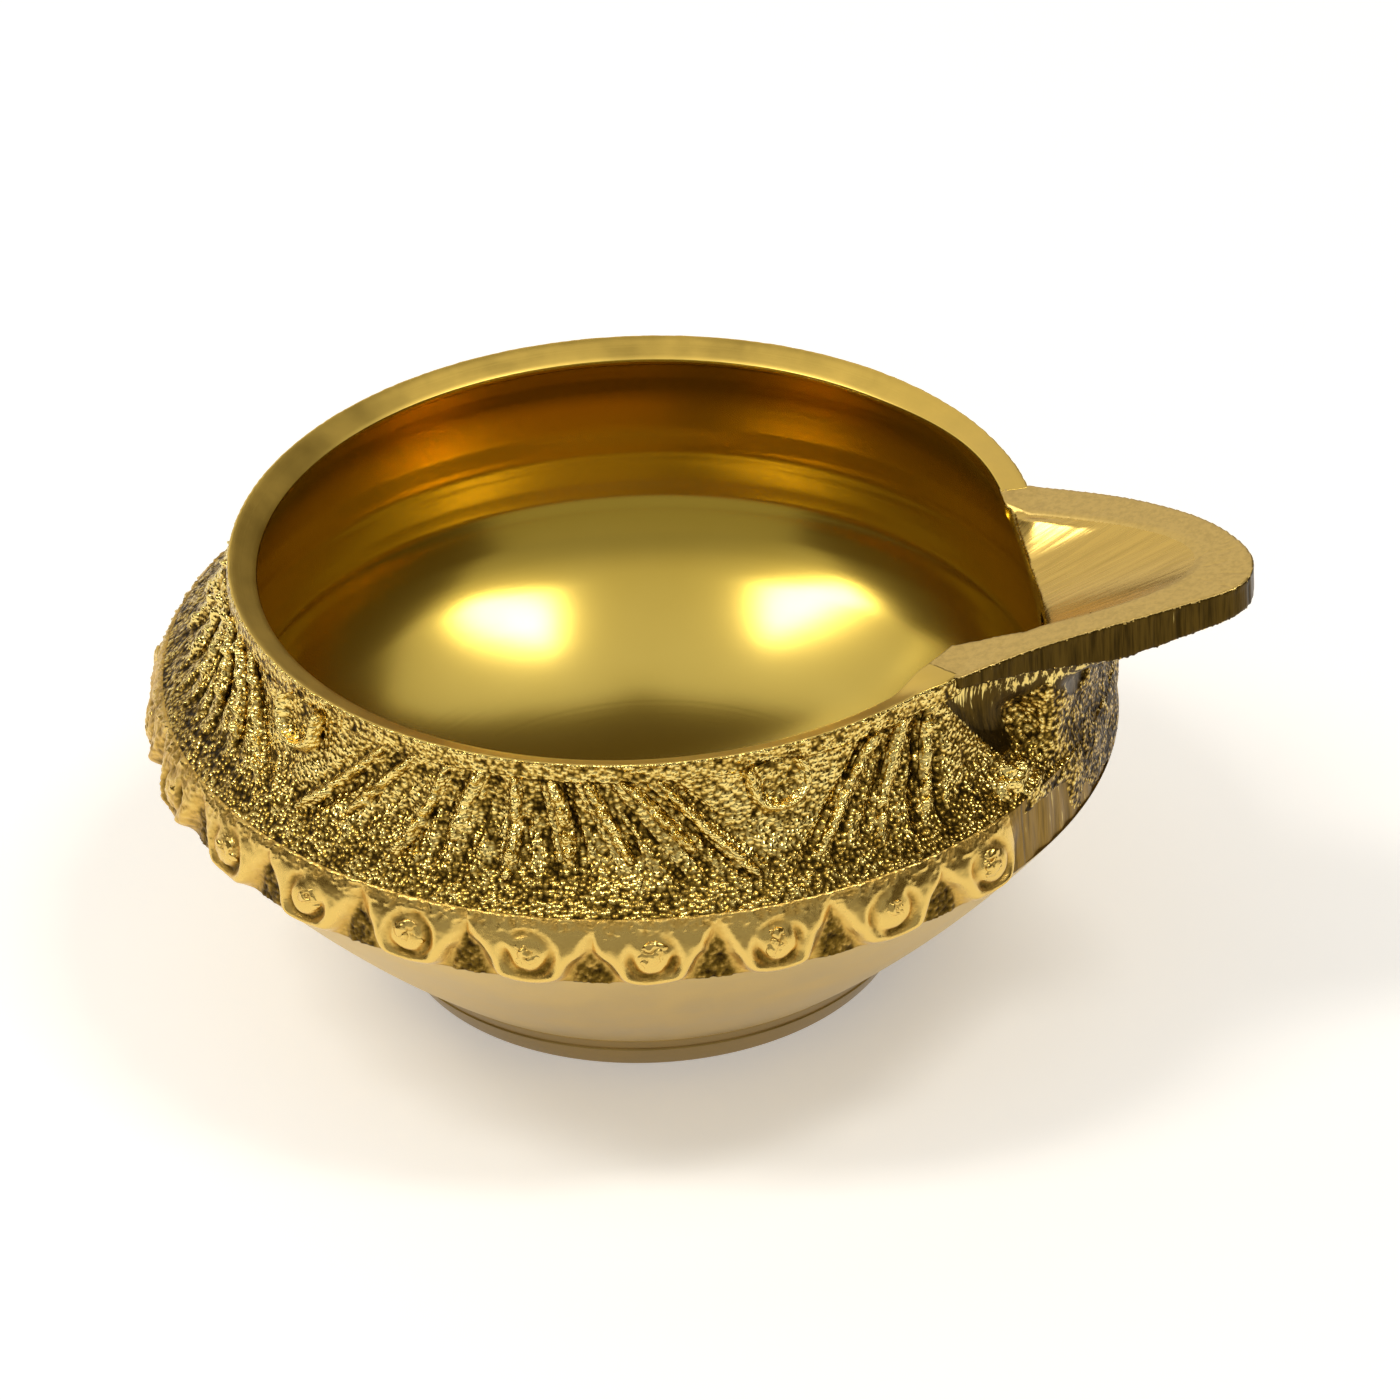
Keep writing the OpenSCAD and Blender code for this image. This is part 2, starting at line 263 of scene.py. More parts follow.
def inside(sizes, low, high):
    """The bowl's inside between two heights, as points of radius and height from the floor's middle up."""
    f, g, step = sizes.floor_round / MM, sizes.wall_round / MM, sizes.turned_step / MM
    depth = BELT_Z - FLOOR_Z
    ball = (BELLY_R ** 2 + depth ** 2) / (2 * depth)
    ball_z = FLOOR_Z + ball
    f_r = BELLY_R - f
    f_z = ball_z - math.sqrt((ball - f) ** 2 - f_r ** 2)
    touch = math.degrees(math.atan2(f_z - ball_z, f_r))
    g_z = f_z + UPRIGHT
    # The lean that meets the rounding without a kink is found by trying again with the last result
    lean = math.atan2(BELLY_R - MOUTH_R, MOUTH_Z - BELT_TOP)
    for _ in range(12):
        lean = math.atan2(BELLY_R - g + g * math.cos(lean) - MOUTH_R, MOUTH_Z - g_z - g * math.sin(lean))
    line = arc((0, ball_z), ball, -90, touch, steps=90)
    line += arc((f_r, f_z), f, touch, 0, steps=30)[1:]
    line += arc((BELLY_R - g, g_z), g, 0, math.degrees(lean), steps=20)
    line += straight(line[-1], (MOUTH_R, MOUTH_Z), steps=40)[1:]
    for p in line:
        p.x += step * 0.5 * smooth(*WAVES_Z, p.y) * noise.noise(Vector((p.y / WAVE_PITCH, 0.4, 0)))
        for z in STEPS_Z:
            p.x += step * hump(p.y - z, STEP_WIDTH)
    found = []
    for a, b in zip(line, line[1:]):
        for z in (low, high):
            if a.y < z <= b.y:
                found.append(a.lerp(b, (z - a.y) / (b.y - a.y)))
        if low <= b.y <= high:
            found.append(b)
    if low <= line[0].y:
        found.insert(0, line[0])
    return sorted(found, key=lambda p: p.y)


def whole(bm):
    """All parts of a shape, for the operators that take geometry."""
    return bm.verts[:] + bm.edges[:] + bm.faces[:]


def chain(bm, points, closed=False):
    """Lays points of radius and height out as a line of edges in the XZ plane."""
    verts = [bm.verts.new((p[0], 0, p[1])) for p in points]
    pairs = list(zip(verts, verts[1:]))
    if closed:
        pairs.append((verts[-1], verts[0]))
    return verts + [bm.edges.new(pair) for pair in pairs]


def lathe(points, steps, start=0.0, sweep=360.0, closed=True):
    """Turns a profile about the lamp's axis; a part of a turn has its two ends filled."""
    bm = bmesh.new()
    geom = chain(bm, points, closed)
    if start:
        turn = Matrix.Rotation(math.radians(start), 3, "Z")
        bmesh.ops.rotate(bm, verts=bm.verts, cent=(0, 0, 0), matrix=turn)
    # One sector is spun and then copied round, because a spin slows down with every step
    sector = math.radians(sweep / SECTORS)
    bmesh.ops.spin(bm, geom=geom, cent=(0, 0, 0), axis=(0, 0, 1), angle=sector, steps=steps // SECTORS)
    bmesh.ops.spin(bm, geom=whole(bm), cent=(0, 0, 0), axis=(0, 0, 1), angle=sector * (SECTORS - 1),
                   steps=SECTORS - 1, use_duplicate=True)
    bmesh.ops.remove_doubles(bm, verts=bm.verts, dist=0.0005)
    if sweep < 360:
        bmesh.ops.holes_fill(bm, edges=[e for e in bm.edges if e.is_boundary], sides=0)
    bmesh.ops.recalc_face_normals(bm, faces=bm.faces)
    return bm


def extrude(bm, face, way):
    """Draws a face out along a way and keeps the old one."""
    made = bmesh.ops.extrude_face_region(bm, geom=[face])["geom"]
    bmesh.ops.translate(bm, verts=[g for g in made if isinstance(g, bmesh.types.BMVert)], vec=way)


def prism(plan, low, high):
    """A closed upright prism over a plan."""
    bm = bmesh.new()
    base = bm.faces.new([bm.verts.new((x, y, low)) for x, y in plan])
    extrude(bm, base, (0, 0, high - low))
    bmesh.ops.recalc_face_normals(bm, faces=bm.faces)
    return bm


def eased(plan, passes=2):
    """Rounds the corners of a closed plan by cutting them off again and again."""
    for _ in range(passes):
        plan = [(a[0] + (b[0] - a[0]) * t, a[1] + (b[1] - a[1]) * t)
                for a, b in zip(plan, plan[1:] + plan[:1]) for t in (0.25, 0.75)]
    return plan


def loose(bm, name):
    """An object with a shape for its mesh, in the shape's own units."""
    mesh = bpy.data.meshes.new(name)
    bm.to_mesh(mesh)
    bm.free()
    made = bpy.data.objects.new(name, mesh)
    bpy.context.collection.objects.link(made)
    return made


def worked(bm, steps):
    """Runs modifiers over a shape, one after the other, and gives the new shape back."""
    made = loose(bm, "work")
    for kind, settings in steps:
        modifier = made.modifiers.new(kind.lower(), kind)
        for name, value in settings.items():
            setattr(modifier, name, value)
        graph = bpy.context.evaluated_depsgraph_get()
        mesh = bpy.data.meshes.new_from_object(made.evaluated_get(graph), preserve_all_data_layers=True,
                                               depsgraph=graph)
        made.modifiers.clear()
        old, made.data = made.data, mesh
        bpy.data.meshes.remove(old)
    done = bmesh.new()
    done.from_mesh(made.data)
    bpy.data.meshes.remove(made.data)
    return done


def cut(bm, *tools, operation="DIFFERENCE"):
    """Cuts other shapes out of a shape, keeps what lies in them or joins them to it."""
    cutters = [loose(tool, "cutter") for tool in tools]
    done = worked(bm, [("BOOLEAN", {"operation": operation, "solver": "MANIFOLD", "object": cutter})
                       for cutter in cutters])
    for cutter in cutters:
        bpy.data.meshes.remove(cutter.data)
    return done


def evened(bm, size, passes):
    """Rebuilds a closed shape with even faces of the given size and eases its edges."""
    return worked(bm, [("REMESH", {"mode": "VOXEL", "voxel_size": size}),
                       ("SMOOTH", {"factor": 0.5, "iterations": passes})])


def take(bm, other):
    """Adds another shape to a shape."""
    mesh = bpy.data.meshes.new("part")
    other.to_mesh(mesh)
    other.free()
    bm.from_mesh(mesh)
    bpy.data.meshes.remove(mesh)
    return bm


def join_nodes(bm, *names):
    """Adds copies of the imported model's nodes, in millimetres, with their loose triangles merged."""
    for name in names:
        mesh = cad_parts[name].data.copy()
        mesh.transform(Matrix.Scale(1 / MM, 4))
        bm.from_mesh(mesh)
        bpy.data.meshes.remove(mesh)
    bmesh.ops.remove_doubles(bm, verts=bm.verts, dist=0.001)
    return bm


def piece(name, bm, nodes, surfaces, sharp=0):
    """Makes a mesh object in metres from a shape in millimetres, on the lamp's body, for its nodes."""
    bmesh.ops.scale(bm, vec=(MM, MM, MM), verts=bm.verts)
    for face in bm.faces:
        face.smooth = True
    made = loose(bm, name)
    if sharp:
        made.data.set_sharp_from_angle(angle=math.radians(sharp))
    for each in surfaces:
        made.data.materials.append(surface(each))
    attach(made, "root")
    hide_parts(*nodes)


def move_out(bm, moves):
    """Moves each vertex along its normal by its own distance."""
    bm.normal_update()
    for vert, co in [(v, v.co + v.normal * d) for v, d in zip(bm.verts, moves)]:
        vert.co = co
    bm.normal_update()


def soften(bm, corners, offset):
    """Rounds the turned edges that run through the given corners of the profile."""
    near = 0.02
    edges = []
    for r, z in corners:
        edges += [e for e in bm.edges if all(abs(v.co.z - z) < near and abs(v.co.xy.length - r) < near
                                             for v in e.verts)]
    bmesh.ops.bevel(bm, geom=edges, offset=offset, segments=4, profile=0.5, affect="EDGES", material=-1)


def spout_top(x):
    """Height of the spout's upper plane."""
    return RIM_Z + max(0.0, x - MOUTH_R) * SPOUT_RISE


def spout_under(x):
    """Height of the spout's lower plane."""
    return spout_top(TIP_X) - SPOUT_EDGE - (TIP_X - x) * SPOUT_UNDER


def spout_low(x):
    """Height of the lower edge of the spout's filed sides."""
    return max(spout_under(x), SIDE_LOW_Z)


def spout_block(inset=0.0, low=spout_low):
    """The spout before its trough is cut, or a smaller core of it, down to a lower surface."""
    bm = prism(eased([(x - inset, y * (1 - inset / SPOUT_HALF)) for x, y in SPOUT_PLAN]), 0, 1)
    for x in SPOUT_BENDS_X:
        bmesh.ops.bisect_plane(bm, geom=whole(bm), plane_co=(x, 0, 0), plane_no=(1, 0, 0))
    for vert in bm.verts:
        vert.co.z = spout_top(vert.co.x) if vert.co.z > 0.5 else low(vert.co.x)
    return bm


def trough_room(extra=0.0):
    """The round groove of the trough, as a long cylinder."""
    bm = bmesh.new()
    made = bmesh.ops.create_cone(bm, cap_ends=True, segments=160, radius1=TROUGH_R + extra,
                                 radius2=TROUGH_R + extra, depth=TROUGH_LENGTH)["verts"]
    bmesh.ops.rotate(bm, verts=made, matrix=Matrix.Rotation(math.pi / 2 - TROUGH_SLOPE, 3, "Y"))
    along = Vector((math.cos(TROUGH_SLOPE), 0, math.sin(TROUGH_SLOPE)))
    up = Vector((-along.z, 0, along.x))
    end = Vector((TROUGH_END_X, TROUGH_SIDE, spout_top(TROUGH_END_X)))
    bmesh.ops.translate(bm, verts=made, vec=end + up * TROUGH_R - along * TROUGH_BACK)
    return bm


def mouth_room(extra=0.0):
    """The opening between trough and bowl: upright above, drawn in below."""
    plan = [(x + extra, y * (1 + extra / SPOUT_HALF)) for x, y in MOUTH_PLAN]
    bm = prism(eased(plan, 1), MOUTH_LOW_Z, CLEAR_Z)
    base = min(bm.faces, key=lambda f: f.calc_center_median().z)
    extrude(bm, base, (-MOUTH_SET, 0, -MOUTH_FOOT))
    bmesh.ops.delete(bm, geom=[base], context="FACES_ONLY")
    bmesh.ops.recalc_face_normals(bm, faces=bm.faces)
    return bm


def bowl_room(sizes, extra=0.0):
    """The room inside the bowl's upper wall and mouth."""
    wall = [(p.x + extra, p.y) for p in inside(sizes, BELT_Z, MOUTH_Z)]
    above = [(MOUTH_R + extra, CLEAR_Z), (0, CLEAR_Z)]
    return lathe([(0, wall[0][1])] + wall + above, 240, closed=False)


def spout_solid(sizes):
    """The spout with its trough and mouth cut; a core keeps metal under the trough."""
    bm = cut(spout_block(), spout_block(1.4, spout_under), operation="UNION")
    return cut(bm, trough_room(), mouth_room(), bowl_room(sizes))


def along_spout(co):
    """Distance along the spout's outline, up one side and round the tip."""
    start, turn, middle = 36.5, 6.0, -0.6
    if co.x < start:
        return co.x
    return start + turn * math.atan2(co.x - start, abs(co.y - middle) + 0.001)


def sand(co, size):
    """Height of the sand's grain at a point, about -1 to 1: packed grains with pits between them."""
    near = noise.voronoi(co / size)[0]
    return 0.9 - 1.5 * near[0] + 0.55 * noise.noise(co / (2.3 * size))


def fan_ribs():
    """Yields each rib's upper and lower angle in degrees, where it is clear of the spout."""
    for fan in range(FANS):
        middle = FAN_TURN + fan * FAN_STEP
        for i in range(FAN_RIBS):
            spread = (i - (FAN_RIBS - 1) / 2) * FAN_STEP / FAN_RIBS
            head, foot = middle + spread * RIB_GATHER, middle + spread
            if min(from_spout(head), from_spout(foot)) >= RELIEF_GAP:
                yield head, foot


def ground(degrees, z):
    """1 where the metal beside the spout's roots was ground smooth, 0 elsewhere."""
    # The place narrows downwards from the lip, by so many degrees a millimetre, and ends above the belt
    widest, widest_z, narrowing, end_z, soft = 29.2, 29.9, 1.25, 23.9, 0.5
    side = from_spout(degrees)
    edge = widest - narrowing * (widest_z - z)
    inner = smooth(2, 8, side)
    return smooth(edge + soft, edge - soft, side) * inner * smooth(end_z - soft, end_z + soft, z)


def worn_edge(degrees):
    """Height of the wavy border under the spout between the ground hollow and the cast throat."""
    side = from_spout(degrees)
    return 26.6 + 0.9 * hump(side - 15, 2.5) - 1.2 * hump(side - 8, 3) - 2.2 * smooth(18, 22.5, side)


def looks_in(face):
    """Whether a face looks towards the lamp's axis."""
    return face.normal.xy.dot(face.calc_center_median().xy.normalized()) < -0.35


def mouth_wall(co, normal):
    """Whether a place on the spout belongs to the wall that the mouth cuts through."""
    return normal.z < 0.5 and co.x < MOUTH_WALL_X and normal.xy.dot(co.xy) < 0


class LAMP_OT_foot(bpy.types.Operator):
    """Turns the foot with its softened edges and one tool line"""
    bl_idname = "lamp.foot"
    bl_label = "Foot"

    def execute(self, context):
        z = TOOL_LINE_Z
        r = FOOT_BOTTOM_R + (FOOT_R - FOOT_BOTTOM_R) * z / FOOT_TOP
        line = [(0, 0), (FOOT_BOTTOM_R, 0), (r, z), (r - 0.05, z + 0.1), (r + 0.02, z + 0.22)]
        bm = lathe(line + [(FOOT_R, FOOT_TOP), (0, FOOT_TOP)], 260, closed=False)
        soften(bm, [(FOOT_BOTTOM_R, 0)], 0.35)
        soften(bm, [(FOOT_R, FOOT_TOP)], 0.2)
        piece("foot_turned", bm, ["foot"], ["Brass_turned_dull"], sharp=30)
        return {"FINISHED"}


class LAMP_OT_bowl(bpy.types.Operator):
    """Turns the bowl: the swelling cone outside, the round buffed floor inside"""
    bl_idname = "lamp.bowl"
    bl_label = "Bowl"

    def execute(self, context):
        sizes = context.scene.lamp_sizes
        rows = 40
        low, high = Vector((FOOT_R, FOOT_TOP)), Vector((BELT_R, BELT_Z))
        out = Vector((high.y - low.y, low.x - high.x)).normalized()
        cone = [p + out * CONE_SWELL * 4 * (i / rows) * (1 - i / rows)
                for i, p in enumerate(straight(high, low, rows))]
        bm = lathe(inside(sizes, 0, BELT_Z) + cone + [(0, FOOT_TOP)], 320, closed=False)
        for face in bm.faces:
            inner = face.normal.z > 0.05 and face.calc_center_median().xy.length < BELLY_R + 0.5
            face.material_index = 0 if inner else 1
        piece("bowl_turned", bm, ["bowl"],
              ["Brass_turned_buffed", "Brass_turned_satin"], sharp=30)
        return {"FINISHED"}


class LAMP_OT_belt(bpy.types.Operator):
    """Turns the wall's widest ring, buffed inside and rough outside, but ground under the spout"""
    bl_idname = "lamp.belt"
    bl_label = "Belt"

    def execute(self, context):
        sizes = context.scene.lamp_sizes
        outer = straight((SHOULDER_R, BELT_TOP), (BELT_R, BELT_Z), steps=18)
        bm = lathe(inside(sizes, BELT_Z, BELT_TOP) + outer, 720)
        full, none, border = BELT_GROUND
        relief = bm.verts.layers.float.new("relief")
        for vert in bm.verts:
            r = vert.co.xy.length
            if r > SHOULDER_R - 0.05:
                grains = sand(vert.co, 2 * sizes.grain / MM)
                vert[relief] = share(0.4 + 0.3 * grains)
                side = from_spout(bearing(vert.co))
                drawn = smooth(none, full, side)
                wave = 0.12 * noise.noise(Vector((side / 2.2, 0, vert.co.z / 9)))
                push = (0.03 * grains - 0.03) * (1 - drawn) + (wave - 0.13) * drawn
                vert.co.xy *= 1 + push / r
        for face in bm.faces:
            middle = face.calc_center_median()
            if middle.xy.length < (BELLY_R + SHOULDER_R) / 2:
                face.material_index = 0
            else:
                face.material_index = 2 if from_spout(bearing(middle)) < border else 1
        piece("belt_ring", bm, ["belt"],
              ["Brass_turned_buffed", "Brass_sand_cast", "Brass_ground"], sharp=30)
        return {"FINISHED"}


class LAMP_OT_shoulder(bpy.types.Operator):
    """Turns the hollow shoulder, cuts the spout's room out of it and gives it the sand's grain"""
    bl_idname = "lamp.shoulder"
    bl_label = "Shoulder"

    def execute(self, context):
        sizes = context.scene.lamp_sizes
        rows = 60
        heights = [LIP_Z + (BELT_TOP - LIP_Z) * i / rows for i in range(rows + 1)]
        bm = lathe(inside(sizes, BELT_TOP, LIP_Z)[::2] + [(shoulder_r(z), z) for z in heights], 1080)
        bm = cut(bm, spout_block(), trough_room(0.3), mouth_room())
        relief = bm.verts.layers.float.new("relief")
        ribs = list(fan_ribs())
        head_z, foot_z = LIP_Z - 0.3, BELT_TOP + 1.7
        size, tall = sizes.grain / MM, sizes.grain_height / MM
        for vert in bm.verts:
            co = vert.co
            r = co.xy.length
            if abs(r - shoulder_r(co.z)) > 0.06:
                continue
            degrees = bearing(co)
            t = share((head_z - co.z) / (head_z - foot_z))
            near, rib = min((from_spout(degrees - (a + (b - a) * t)), i) for i, (a, b) in enumerate(ribs))
            near, own = near * math.radians(r), noise.noise(Vector((rib * 3.1, 0.5, 0)))
            flat = ground(degrees, co.z)
            grains = sand(co, size)
            low = smooth(24.6, 22.6, co.z)
            # A furrow runs down both sides of each rib, clear of the web under the spout; it is sunk and also
            # painted darker as painted shade
            shaded_furrow = smooth(0.5, 0.8, near) * smooth(1.75, 1.1, near) * (0.75 + 0.5 * own)
            shaded_furrow *= smooth(foot_z - 1.2, foot_z + 0.6, co.z + own)
            shaded_furrow *= smooth(WEB_HALF - 1, WEB_HALF + 0.5, from_spout(degrees))
            high = tall * grains * (1 + 0.3 * low) - 0.34 * shaded_furrow + 0.14 * noise.noise(co / 1.6)
            high *= 1 - 0.97 * flat
            high += flat * 0.03 * noise.noise(Vector((degrees * 1.6, 0, co.z / 9)))
            level = 0.5 + 0.42 * grains - 0.32 * shaded_furrow + 0.3 * flat - 0.2 * low
            vert[relief] = share(level + 0.12 * noise.noise(co / 2.1))
            out = shoulder_out(co.z)
            push = high * smooth(-0.1, 0.2, co.z - BELT_TOP)
            co += Vector((co.x / r * out.x, co.y / r * out.x, out.y)) * push
        for face in bm.faces:
            middle = face.calc_center_median()
            filed = ground(bearing(middle), middle.z) > 0.5
            face.material_index = 0 if looks_in(face) else (2 if filed else 1)
        piece("shoulder_cast", bm, ["shoulder"],
              ["Brass_turned_buffed", "Brass_sand_cast", "Brass_filed_dull"], sharp=60)
        return {"FINISHED"}


class LAMP_OT_relief(bpy.types.Operator):
    """Lays the leaf ribs down the shoulder in fans and hangs a drop between each two fans"""
    bl_idname = "lamp.relief"
    bl_label = "Leaf ribs and drops"

    def execute(self, context):
        sizes = context.scene.lamp_sizes
        rng = random.Random(7)
        half, tall = sizes.rib_width / MM / 2, sizes.rib_height / MM
        bm = bmesh.new()
        bm.verts.layers.float.new("relief")
        for angles in fan_ribs():
            heights = (LIP_Z + 0.2, BELT_TOP + 1.6 + rng.uniform(-0.7, 1.3))
            halves = (half * rng.uniform(0.75, 1.0), half * rng.uniform(0.8, 1.15))
            self.tongue(bm, sizes, rng, angles, heights, halves, tall * rng.uniform(0.8, 1.15))
        bmesh.ops.recalc_face_normals(bm, faces=bm.faces)
        piece("leaf_ribs_cast", bm, ["leaf_ribs"], ["Brass_sand_cast"])
        bm = bmesh.new()
        bm.verts.layers.float.new("relief")
        for fan in range(FANS):
            angle = FAN_TURN + (fan + 0.5) * FAN_STEP
            if from_spout(angle) >= RELIEF_GAP:
                heights, halves = (LIP_Z + 0.4, LIP_Z - 3.0), (2.35, 2.1)
                self.tongue(bm, sizes, rng, (angle, angle), heights, halves, 0.75, dished=True)
        bmesh.ops.recalc_face_normals(bm, faces=bm.faces)
        piece("rim_drops_cast", bm, ["rim_drops"], ["Brass_sand_cast"])
        return {"FINISHED"}

    def tongue(self, bm, sizes, rng, angles, heights, halves, tall, dished=False):
        """A raised tongue on the shoulder, head to foot, half sunk, with a crest or a rounded outline."""
        made = bmesh.new()
        relief = made.verts.layers.float.new("relief")
        bend, own = rng.uniform(-0.6, 0.6), rng.uniform(0, 40)
        size, grain = sizes.grain / MM, sizes.grain_height / MM
        bmesh.ops.create_uvsphere(made, u_segments=40 if dished else 26, v_segments=56, radius=1)
        for vert in made.verts:
            t = math.acos(max(-1.0, min(1.0, vert.co.z))) / math.pi
            ring = max(1e-6, vert.co.xy.length)
            side, up = vert.co.x / ring, vert.co.y / ring
            full = (1 - abs(2 * t - 1) ** 6) ** 0.5 if 0 < t < 1 else 0.0
            z = heights[0] + (heights[1] - heights[0]) * t
            half = halves[0] + (halves[1] - halves[0]) * t
            skin = shoulder_r(min(z, RIM_Z))
            angle = math.radians(angles[0] + (angles[1] - angles[0]) * t)
            angle += 0.5 * bend * math.sin(math.pi * t) / skin
            angle += side * half * full / skin
            out = shoulder_out(min(z, RIM_Z - 0.01))
            base = polar(skin, angle, z)
            lift = Vector((math.cos(angle) * out.x, math.sin(angle) * out.x, out.y))
            grains = sand(base, size)
            if up <= 0:
                crest, high = 0.0, up * 0.5 * full
            elif dished:
                reach = math.hypot(side * full, max(0.0, t - 0.5) / 0.5)
                crest = hump(reach - 0.8, 0.17) + 0.2 * smooth(1.0, 0.7, reach)
                high = crest * tall + grain * 1.2 * grains * full
            else:
                lumps = 0.85 + 0.9 * noise.noise(Vector((own, t * 11, 0)))
                crest = up ** 3 * lumps
                high = (crest * tall + grain * 1.6 * grains) * full
            vert[relief] = share(0.3 + 0.36 * grains + 0.75 * crest * full)
            vert.co = base + lift * high
        take(bm, made)


class LAMP_OT_petals(bpy.types.Operator):
    """Turns the raised band, notches it into petals with a ring in each, and sets the beads"""
    bl_idname = "lamp.petals"
    bl_label = "Petal band and beads"

    def execute(self, context):
        sizes = context.scene.lamp_sizes
        outer = straight((BELT_R, BELT_Z), (SHOULDER_R, BELT_TOP), steps=44)
        back = [p - Vector((BAND_BACK, 0)) for p in (outer[-1], outer[0])]
        bm = lathe(outer + back, 1160, PETAL_GAP, 360 - 2 * PETAL_GAP)
        relief = bm.verts.layers.float.new("relief")
        for vert in bm.verts:
            r = vert.co.xy.length
            if r > SHOULDER_R - BAND_BACK / 2:
                proud, vert[relief] = self.height(sizes, bearing(vert.co), vert.co)
                vert.co.xy *= (r + proud) / r
        for face in bm.faces:
            end = from_spout(bearing(face.calc_center_median())) < PETAL_GAP + 2.6
            face.material_index = 1 if end else 0
        piece("petal_band_buffed", bm, ["petal_band"],
              ["Brass_cast_buffed", "Brass_ground"])
        self.beads(sizes)
        return {"FINISHED"}

    def height(self, sizes, degrees, co):
        """How far the band stands out from the belt at a point, and how bright its colour is: buffing, with
        painted highlight towards the front.
        """
        off = (degrees - PETAL_TURN + 360 + PETAL_STEP / 2) % PETAL_STEP - PETAL_STEP / 2
        key = round((degrees - PETAL_TURN - off) / PETAL_STEP) % PETALS
        own = noise.noise(Vector((key * 5.3, 1.7, 0.2)))
        u, w = math.radians(off) * BELT_R, co.z - BEAD_Z
        wobble = noise.noise(co / 2.2)
        grains = sand(co, sizes.grain / MM)
        # Notches taper upwards between the petals, and each petal hangs round its bead like a cup
        half_pitch, notch = math.radians(PETAL_STEP / 2) * BELT_R, sizes.notch_width / MM / 2
        rise = (co.z - BELT_Z) / (sizes.notch_height / MM * (1 + 0.35 * own)) + 0.15 * wobble
        edge = notch * (1 - max(0.0, rise) ** 1.5) - 0.3
        far = half_pitch - abs(u) + 0.3 * wobble + 0.16 * noise.noise(co / 0.9)
        petal = smooth(edge, edge + 1.7, far)
        bare = smooth(edge + 0.75, edge + 0.2, far) * smooth(1.15, 0.85, rise)
        reach = math.hypot(u * (1 + 0.12 * own), w)
        petal *= 1 - smooth(2.3, 3.3, reach) * smooth(0.2, -1.4, w)
        # The band's profile rolls outwards from its ragged upper edge and under again at its foot
        foot = smooth(-0.4, 0.9, co.z - BELT_Z)
        ragged = 0.35 * noise.noise(co / 0.7) + 0.14 * grains
        crown = math.sin(math.pi / 2 * share((BELT_TOP + 0.1 - co.z - 0.2 * ragged) / 3.0)) ** 0.85
        swell = 0.5 + 0.5 * math.cos(math.pi * u / half_pitch)
        # The ring round the bead is deeper in some places, and a roll lies below it
        around = math.atan2(w, u)
        patchy = noise.noise(Vector((math.cos(around), math.sin(around), key * 3.7)))
        uneven = share(0.6 - 0.35 * math.sin(around) + 0.9 * patchy)
        ring = hump(reach - 1.45 - 0.2 * wobble, 0.34) * uneven
        roll = hump(reach - 2.1 - 0.2 * wobble, 0.35) * smooth(0.9, -0.7, w)
        proud = PETAL_PROUD * petal * (0.15 + 0.85 * foot) * crown * (0.8 + 0.2 * swell)
        proud += (0.1 * wobble - 0.5 * ring + 0.12 * roll) * petal * crown
        # The wheel reached the front best, so the grain stays on the strip at the sides and back; the front,
        # where the light falls, is also painted brighter as painted highlight
        buffed_with_painted_light = smooth(80, 40, from_spout(degrees + 75))
        rim = smooth(BELT_TOP - 0.95, BELT_TOP - 0.35, co.z + 1.4 * ragged)
        proud += (0.1 + 0.16 * grains) * bare + (0.16 * rim + 0.12 * (1 - buffed_with_painted_light) * petal) * grains
        end = smooth(PETAL_GAP - 0.3, PETAL_GAP + 6, from_spout(degrees))
        proud = 0.03 + (proud - 0.03) * end
        polish_and_painted_light = (0.45 + 0.5 * petal) * (1 - 0.8 * ring) * (1 - 0.06 * smooth(0.6, 1.4, w))
        polish_and_painted_light *= 0.58 + 0.42 * buffed_with_painted_light + 0.45 * grains * (1 - buffed_with_painted_light)
        polish_and_painted_light += (0.14 + 0.36 * grains - polish_and_painted_light) * bare
        polish_and_painted_light += (0.58 + 0.5 * grains - polish_and_painted_light) * rim
        return max(0.02, proud), share(polish_and_painted_light)

    def beads(self, sizes):
        """Sets a low dome, cracked by the casting, in each petal's ring."""
        rng = random.Random(11)
        bm = bmesh.new()
        relief = bm.verts.layers.float.new("relief")
        for i in range(PETALS):
            degrees = PETAL_TURN + i * PETAL_STEP
            if from_spout(degrees) < PETAL_GAP + PETAL_STEP / 2:
                continue
            seed = Vector((rng.uniform(0, 50), rng.uniform(0, 50), 0))
            made = bmesh.ops.create_icosphere(bm, subdivisions=5, radius=1)["verts"]
            wide, tall = BEAD_R * rng.uniform(0.82, 0.98), BEAD_R * rng.uniform(0.75, 0.95)
            for vert in made:
                co = vert.co.copy()
                dent = noise.noise(co * 1.2 + seed)
                crack = hump(noise.noise(co * 1.7 + seed), 0.11) * share(0.6 + noise.noise(co * 2 - seed))
                high = 1 + 0.26 * dent - 0.3 * crack + 0.07 * noise.noise(co * 4 + seed)
                vert[relief] = share(0.85 + 0.5 * dent - 0.55 * crack)
                vert.co = Vector((co.x * BEAD_DEPTH * high, co.y * wide * high, co.z * tall * high))
            lift = SHOULDER_R + PETAL_PROUD + sizes.bead_height / MM - BEAD_DEPTH
            bmesh.ops.translate(bm, verts=made, vec=(lift, 0, BEAD_Z))
            bmesh.ops.transform(bm, verts=made, matrix=Matrix.Rotation(math.radians(degrees), 4, "Z"))
        piece("beads_buffed", bm, ["beads"], ["Brass_cast_buffed"])


